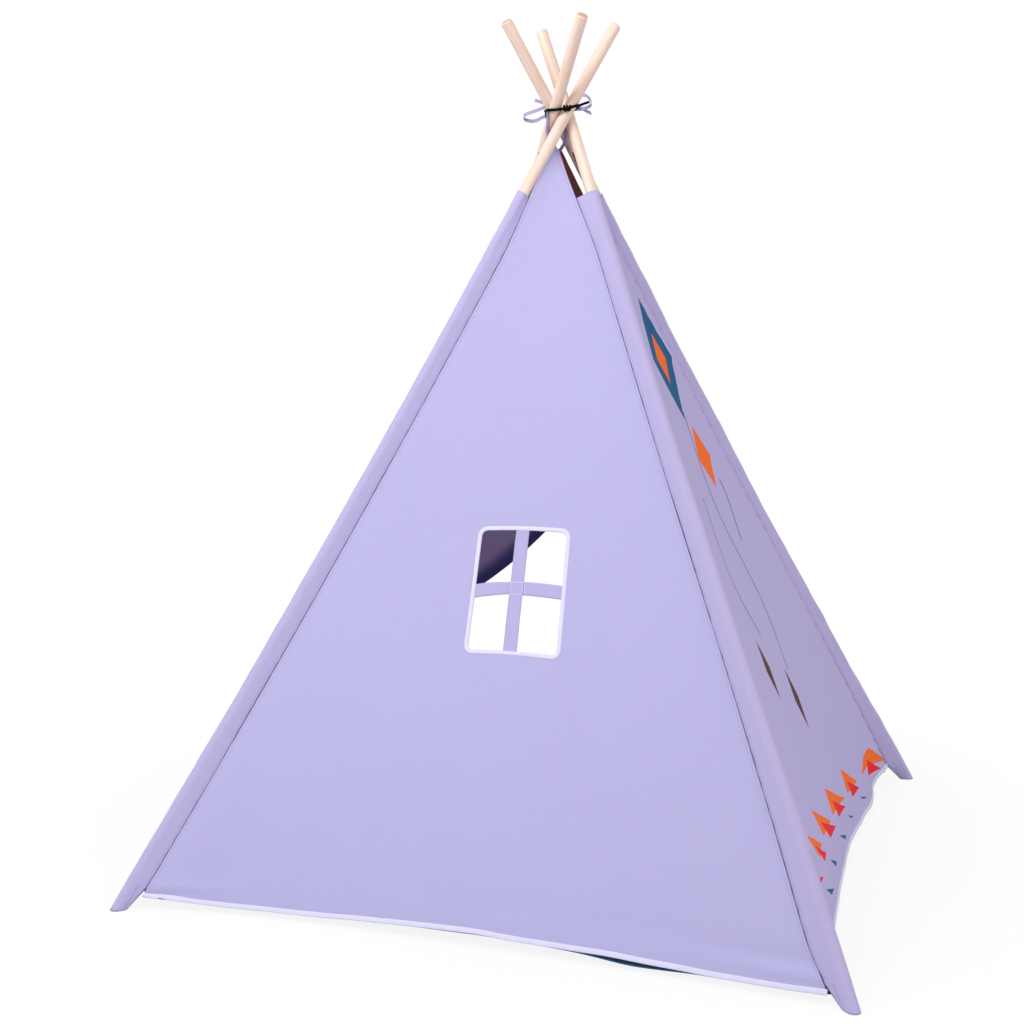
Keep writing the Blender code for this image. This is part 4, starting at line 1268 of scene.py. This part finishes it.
# The near pole's lowest section, moved with its foot
def makeFoot(corner):
    node = frame["nodes"][f"pole_{corner}_lower"]
    bm = bmesh.new()
    bm.from_mesh(node.data)
    bmesh.ops.transform(bm, matrix=node.matrix_world, verts=bm.verts)
    for v in bm.verts:
        v.co += footShift(corner, toAlong(v.co.z))
    piece = makePiece(pieceName("foot", corner), bm, ["poleInside"])
    fit(piece, f"pole_{corner}", f"pole_{corner}_lower")


# Lashing: an elastic cord that climbs to the right, with a knot in front and a spare end
lashing = {
    "diameter": 0.0050,
    "rise": 0.0100,
    "tip": 0.05,
    "slant": 0.35,
    "slantStart": 0.012,
    "clearance": 0.0006,
    "steps": 120,
    "knotLength": 0.0078,
    "knotBeside": 0.015,
    "spare": (0.020, -0.004, 0.0050),
}
# each tape's route: beside the wall's centre line, out from the crossing, share of its climb, and
# the way of its width at both ends
tapes = {
    "window": (
        ((-0.0125, 0.0165, 0.25), (-0.0172, 0.0195, 0.49), (-0.0160, 0.0245, 0.75), (-0.0163, 0.0262, 1.0)),
        ((1.0, 0.3, 0.0), (-0.1, 1.0, 0.0)),
    ),
    "right": (
        ((0.0100, 0.0150, 0.38), (0.0170, 0.0085, 0.70), (0.0270, 0.0010, 1.0)),
        ((0.0, 1.0, 0.0), (0.8, 0.6, 0.0)),
    ),
    "door": (
        ((-0.0030, 0.0125, 0.23), (-0.0050, 0.0085, 0.43), (-0.0035, 0.0020, 0.64)),
        ((0.3, 0.95, 0.0), (0.3, 0.95, 0.0)),
    ),
    "left": (
        ((-0.0060, 0.0170, 0.20), (-0.0156, 0.0152, 0.42), (-0.0240, 0.0255, 0.66), (-0.0190, 0.0240, 1.0)),
        ((0.0, -1.0, 0.0), (1.0, 0.4, 0.0)),
    ),
}
# the bow's knot, and its loops and tails from the middle of the knot
bow = {"knot": (0.0080, 0.0048, 0.0060), "lift": 0.0058, "way": (-0.25, 0.75, 0.6)}
bowParts = {
    "leftLoop": (
        *((0.000, 0.000, 0.001), (-0.033, 0.002, 0.0055), (-0.060, -0.010, -0.004)),
        *((-0.0745, -0.018, -0.010), (-0.078, -0.022, -0.0145), (-0.0745, -0.020, -0.0202)),
        *((-0.060, -0.012, -0.0215), (-0.040, 0.000, -0.011), (0.000, 0.001, -0.002)),
    ),
    "rightLoop": (
        *((0.000, 0.000, 0.001), (0.008, 0.004, 0.014), (0.024, 0.003, 0.0215), (0.034, 0.000, 0.0172)),
        *((0.0405, -0.003, 0.0085), (0.037, 0.000, 0.002), (0.020, 0.005, -0.002), (0.000, 0.001, -0.002)),
    ),
    "leftTail": ((0.000, 0.000, 0.002), (-0.030, 0.004, 0.006), (-0.062, -0.008, 0.0145)),
    "rightTail": (
        *((0.000, 0.002, -0.002), (0.014, 0.006, 0.003)),
        *((0.026, 0.006, -0.004), (0.039, 0.003, -0.0105)),
    ),
}


def cordHeight(spot):
    rise = lashing["rise"] + lashing["tip"] * spot.y
    return tent["crossing"] + rise + lashing["slant"] * max(spot.x - lashing["slantStart"], 0.0)


def aroundPoles(clearance, steps):
    flat = 1 / math.cos(tilt)
    points = []
    for i in range(steps):
        angle = math.tau * i / steps
        way = Vector((math.cos(angle), math.sin(angle), 0))
        spot = Vector()
        for _ in range(4):
            height = cordHeight(spot)
            contacts = []
            for corner in corners:
                out = outward(corner) * (tent["poleRadius"] * flat)
                side = sideways(corner) * tent["poleRadius"]
                span = math.hypot(out.dot(way), side.dot(way))
                contact = out * (out.dot(way) / span) + side * (side.dot(way) / span)
                contacts.append(polePoint(corner, toAlong(height)) + contact)
            spot = max(contacts, key=lambda contact: contact.dot(way)) + way * clearance
        points.append(Vector((spot.x, spot.y, cordHeight(spot))))
    return points


def tubeMesh(name, points, diameter, cyclic):
    curve = bpy.data.curves.new(name, "CURVE")
    curve.dimensions = "3D"
    curve.bevel_depth = diameter / 2
    curve.bevel_resolution = 4
    curve.use_fill_caps = True
    line = curve.splines.new("POLY")
    line.points.add(len(points) - 1)
    for spot, place in zip(line.points, points):
        spot.co = (*place, 1)
    line.use_cyclic_u = cyclic
    guide = bpy.data.objects.new(name, curve)
    bpy.context.scene.collection.objects.link(guide)
    bpy.context.view_layer.update()
    mesh = bpy.data.meshes.new_from_object(guide.evaluated_get(bpy.context.evaluated_depsgraph_get()))
    bpy.data.objects.remove(guide)
    return mesh


def makeLashing():
    diameter = lashing["diameter"]
    loop = aroundPoles(diameter / 2 + lashing["clearance"], lashing["steps"])
    front = min((p for p in loop if p.y < 0), key=lambda p: abs(p.x - lashing["knotBeside"]))
    leftEnd, rightEnd = min(loop, key=lambda p: p.x), max(loop, key=lambda p: p.x)
    knot = []
    for i in range(61):
        turn = math.tau * 2.5 * i / 60
        beside = lashing["knotLength"] * 0.9 * (i / 60 * 2 - 1)
        knot.append(front + Vector((beside, -0.0024 + 0.0036 * math.cos(turn), 0.0038 * math.sin(turn))))
    spare = [rightEnd.lerp(rightEnd + Vector(lashing["spare"]), i / 8) for i in range(-2, 9)]
    strand = [leftEnd + Vector((0.0016 + 0.0004 * abs(i - 4), -0.003, 0.0070 - 0.0028 * i)) for i in range(8)]
    bm = bmesh.new()
    for name, points, share, cyclic in (
        ("lashing", loop, 1, True),
        ("knot", knot, 0.85, False),
        ("spareEnd", spare, 0.9, False),
        ("strand", strand, 0.8, False),
    ):
        bm.from_mesh(tubeMesh(name, points, diameter * share, cyclic))
    bmesh.ops.remove_doubles(bm, verts=bm.verts, dist=0.00001)
    bmesh.ops.recalc_face_normals(bm, faces=bm.faces)
    fit(makePiece("lashingCord", bm, ["elastic"]), "apex_lashing", "lashing_cord")


# a flat ribbon along a route, its width turning from the first way to the second
def makeRibbon(name, stops, ways, rows=60):
    length = sum((b - a).length for a, b in zip(stops, stops[1:]))

    def place(across, rise):
        share = (rise + 1) / 2
        way = blend(ways[0], ways[1], share).normalized()
        curl = 0.0006 * across * across
        return smoothRoute(stops, share) + way * (tent["ribbonWidth"] / 2 * across) + up * curl

    bm = gridSheet(4, rows, place, lambda across, rise: (rise * length / 2, across * tent["ribbonWidth"] / 2))
    bmesh.ops.recalc_face_normals(bm, faces=bm.faces)
    return makePiece(name, bm, ["ribbon"], tent["ribbonThickness"]), length


# The tape from a wall's apex to the lashing
def makeTape(wall):
    edge, out = wallEdge(wall), -wallInward(wall)
    route, ways = tapes[wall]
    start = wallPoint(wall, 0, apexAlong(wall)) - wallSlope(wall) * 0.004
    beside, away, climb = route[-1]
    endHeight = cordHeight(edge * beside + out * away) - lashing["diameter"] / 2 - 0.0009
    stops = [start]
    for beside, away, climb in route:
        stops.append(edge * beside + out * away + up * blend(start.z, endHeight, climb))
    piece, length = makeRibbon(f"{wall}Tape", stops, [Vector(way) for way in ways])
    fit(piece, f"{wall}_wall", f"apex_tape_{wall}")


# The ribbon bow behind the crossing: a wrapped knot, two loops and two tails
def makeBow():
    loop = aroundPoles(lashing["diameter"] + lashing["clearance"] + 0.0003, 40)
    back = max(loop, key=lambda point: point.y)
    middle = Vector((back.x, back.y + bow["knot"][1], back.z + bow["lift"]))
    bm = bmesh.new()
    bmesh.ops.create_uvsphere(bm, u_segments=24, v_segments=16, radius=1)
    for v in bm.verts:
        dent = 1 - 0.12 * math.exp(-((v.co.x / 0.25) ** 2)) - 0.06 * math.cos(v.co.z * 9)
        v.co = Vector(bow["knot"]) * v.co * dent + middle
    uvLayer = bm.loops.layers.uv.new("cloth")
    for face in bm.faces:
        for corner in face.loops:
            corner[uvLayer].uv = (corner.vert.co.x, corner.vert.co.z)
    fit(makePiece("bowKnot", bm, ["ribbon"]), "apex_lashing", "ribbon_bow")
    way = Vector(bow["way"])
    for part, route in bowParts.items():
        stops = [middle + Vector(stop) for stop in route]
        piece, length = makeRibbon("bow" + part[0].upper() + part[1:], stops, (way, way), 80)
        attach(piece, "apex_lashing")


# Build

camera = bpy.data.cameras.new("photoCamera")
camera.lens = cameraView["lens"]
camera.sensor_width = cameraView["sensor"]
camera.clip_end = 60
eye = bpy.data.objects.new("photoCamera", camera)
eye.location = cameraView["place"]
eye.rotation_euler = (math.pi / 2 + cameraView["pitch"], 0, cameraView["yaw"])
bpy.context.scene.collection.objects.link(eye)
bpy.context.scene.camera = eye
print("camera set")

makeLashing()
for corner in corners:
    makePole(corner)
    makeSleeve(corner)
makeFoot("window_right")
print("poles, sleeves and lashing made")

for wall, face in (("window", "wall"), ("right", "rightWall"), ("left", "wall")):
    cloth = makeWall(wall, [face, "inside"])
    trim = [makeHem(wall)]
    if wall == "window":
        trim.append(makeWindowBinding())
        makeStraps()
    foot = 2 * wallSpan(wall, tent["hemRise"])[1].length
    tall = (apexAlong(wall) - tent["hemRise"]) * slopeLength(wall) / poleLength
    held = [pieceName("sleeve", corner) for corner in walls[wall]]
print("walls, hems and window made")

makeDoor()
for side, corner in (("left", "door_left"), ("right", "door_right")):
    makeTie(side, corner)
    makeCurtain(side, corner)
makeFloor()
print("door, curtains and floor made")

for wall in walls:
    makeTape(wall)
makeBow()
print("tapes and bow made")

# Stage: a white floor that keeps the tent's faint shadow near it and is plain white further out
stageLook = {
    "floorSize": 30.0,
    "floorDrop": 0.0005,
    "shadowShare": 0.15,
    "fadeStart": 0.6,
    "fadeEnd": 1.6,
    "colour": "#DEDEE2",
    "glow": 1.04,
    "ambient": 0.60,
    "ambientColour": "#F6F5FA",
}


# rays that should see plain white: the camera's own, mirrored and seen through
def whiteRays(add):
    seen = 0.0
    for kind in ("Camera", "Glossy", "Transmission"):
        seen = add("Math ADD", seen, add("LightPath", out=f"Is {kind} Ray"), use_clamp=True)
    return seen


def makeStage():
    bm = bmesh.new()
    bmesh.ops.create_grid(bm, x_segments=1, y_segments=1, size=stageLook["floorSize"])
    ground = makePiece("ground", bm, [])
    ground.location.z = -stageLook["floorDrop"]
    made = bpy.data.materials.new("whiteFloor")
    made.use_nodes = True
    made.node_tree.nodes.clear()
    add = partial(addNode, made.node_tree)
    away = add("VectorMath LENGTH", add("TexCoord", out="Object"), out="Value")
    reach = (stageLook["fadeStart"], stageLook["fadeEnd"], 1 - stageLook["shadowShare"], 1.0)
    plain = add("MapRange", away, *reach, interpolation_type="SMOOTHSTEP")
    diffuse = add("BsdfDiffuse", {"Color": linear(stageLook["colour"])})
    glow = add("Emission", {"Color": (1, 1, 1, 1), "Strength": stageLook["glow"]})
    add("OutputMaterial", add("MixShader", add("Math MULTIPLY", plain, whiteRays(add)), diffuse, glow))
    ground.data.materials.append(made)


def makeWorld():
    world = bpy.data.worlds.new("studio")
    world.use_nodes = True
    bpy.context.scene.world = world
    world.node_tree.nodes.clear()
    add = partial(addNode, world.node_tree)
    soft = add("Background", {"Color": linear(stageLook["ambientColour"]), "Strength": stageLook["ambient"]})
    white = add("Background", {"Color": (1, 1, 1, 1), "Strength": 1.0})
    add("OutputWorld", add("MixShader", whiteRays(add), soft, white))


# Lamps: where each stands, what it looks at, its size and its power in watts
lamps = {
    "key": {
        "place": (-0.95, -1.85, 2.75),
        "target": (0, 0, 0.8),
        "size": 1.8,
        "power": 52,
        "tint": "#FFFFFF",
    },
    "fill": {
        "place": (3.2, -1.0, 2.2),
        "target": (0, 0, 0.6),
        "size": 2.4,
        "power": 31,
        "tint": "#FFF4F0",
    },
}


def makeLamps():
    for name, lamp in lamps.items():
        data = bpy.data.lights.new(name, "AREA")
        data.shape = "DISK"
        data.size = lamp["size"]
        data.energy = lamp["power"]
        data.color = linear(lamp["tint"])[:3]
        light = bpy.data.objects.new(name, data)
        light.location = lamp["place"]
        light.rotation_euler = (Vector(lamp["target"]) - light.location).to_track_quat("-Z", "Y").to_euler()
        bpy.context.scene.collection.objects.link(light)


makeStage()
makeWorld()
makeLamps()
bpy.context.scene.view_settings.view_transform = "Standard"
print("stage and lamps made")
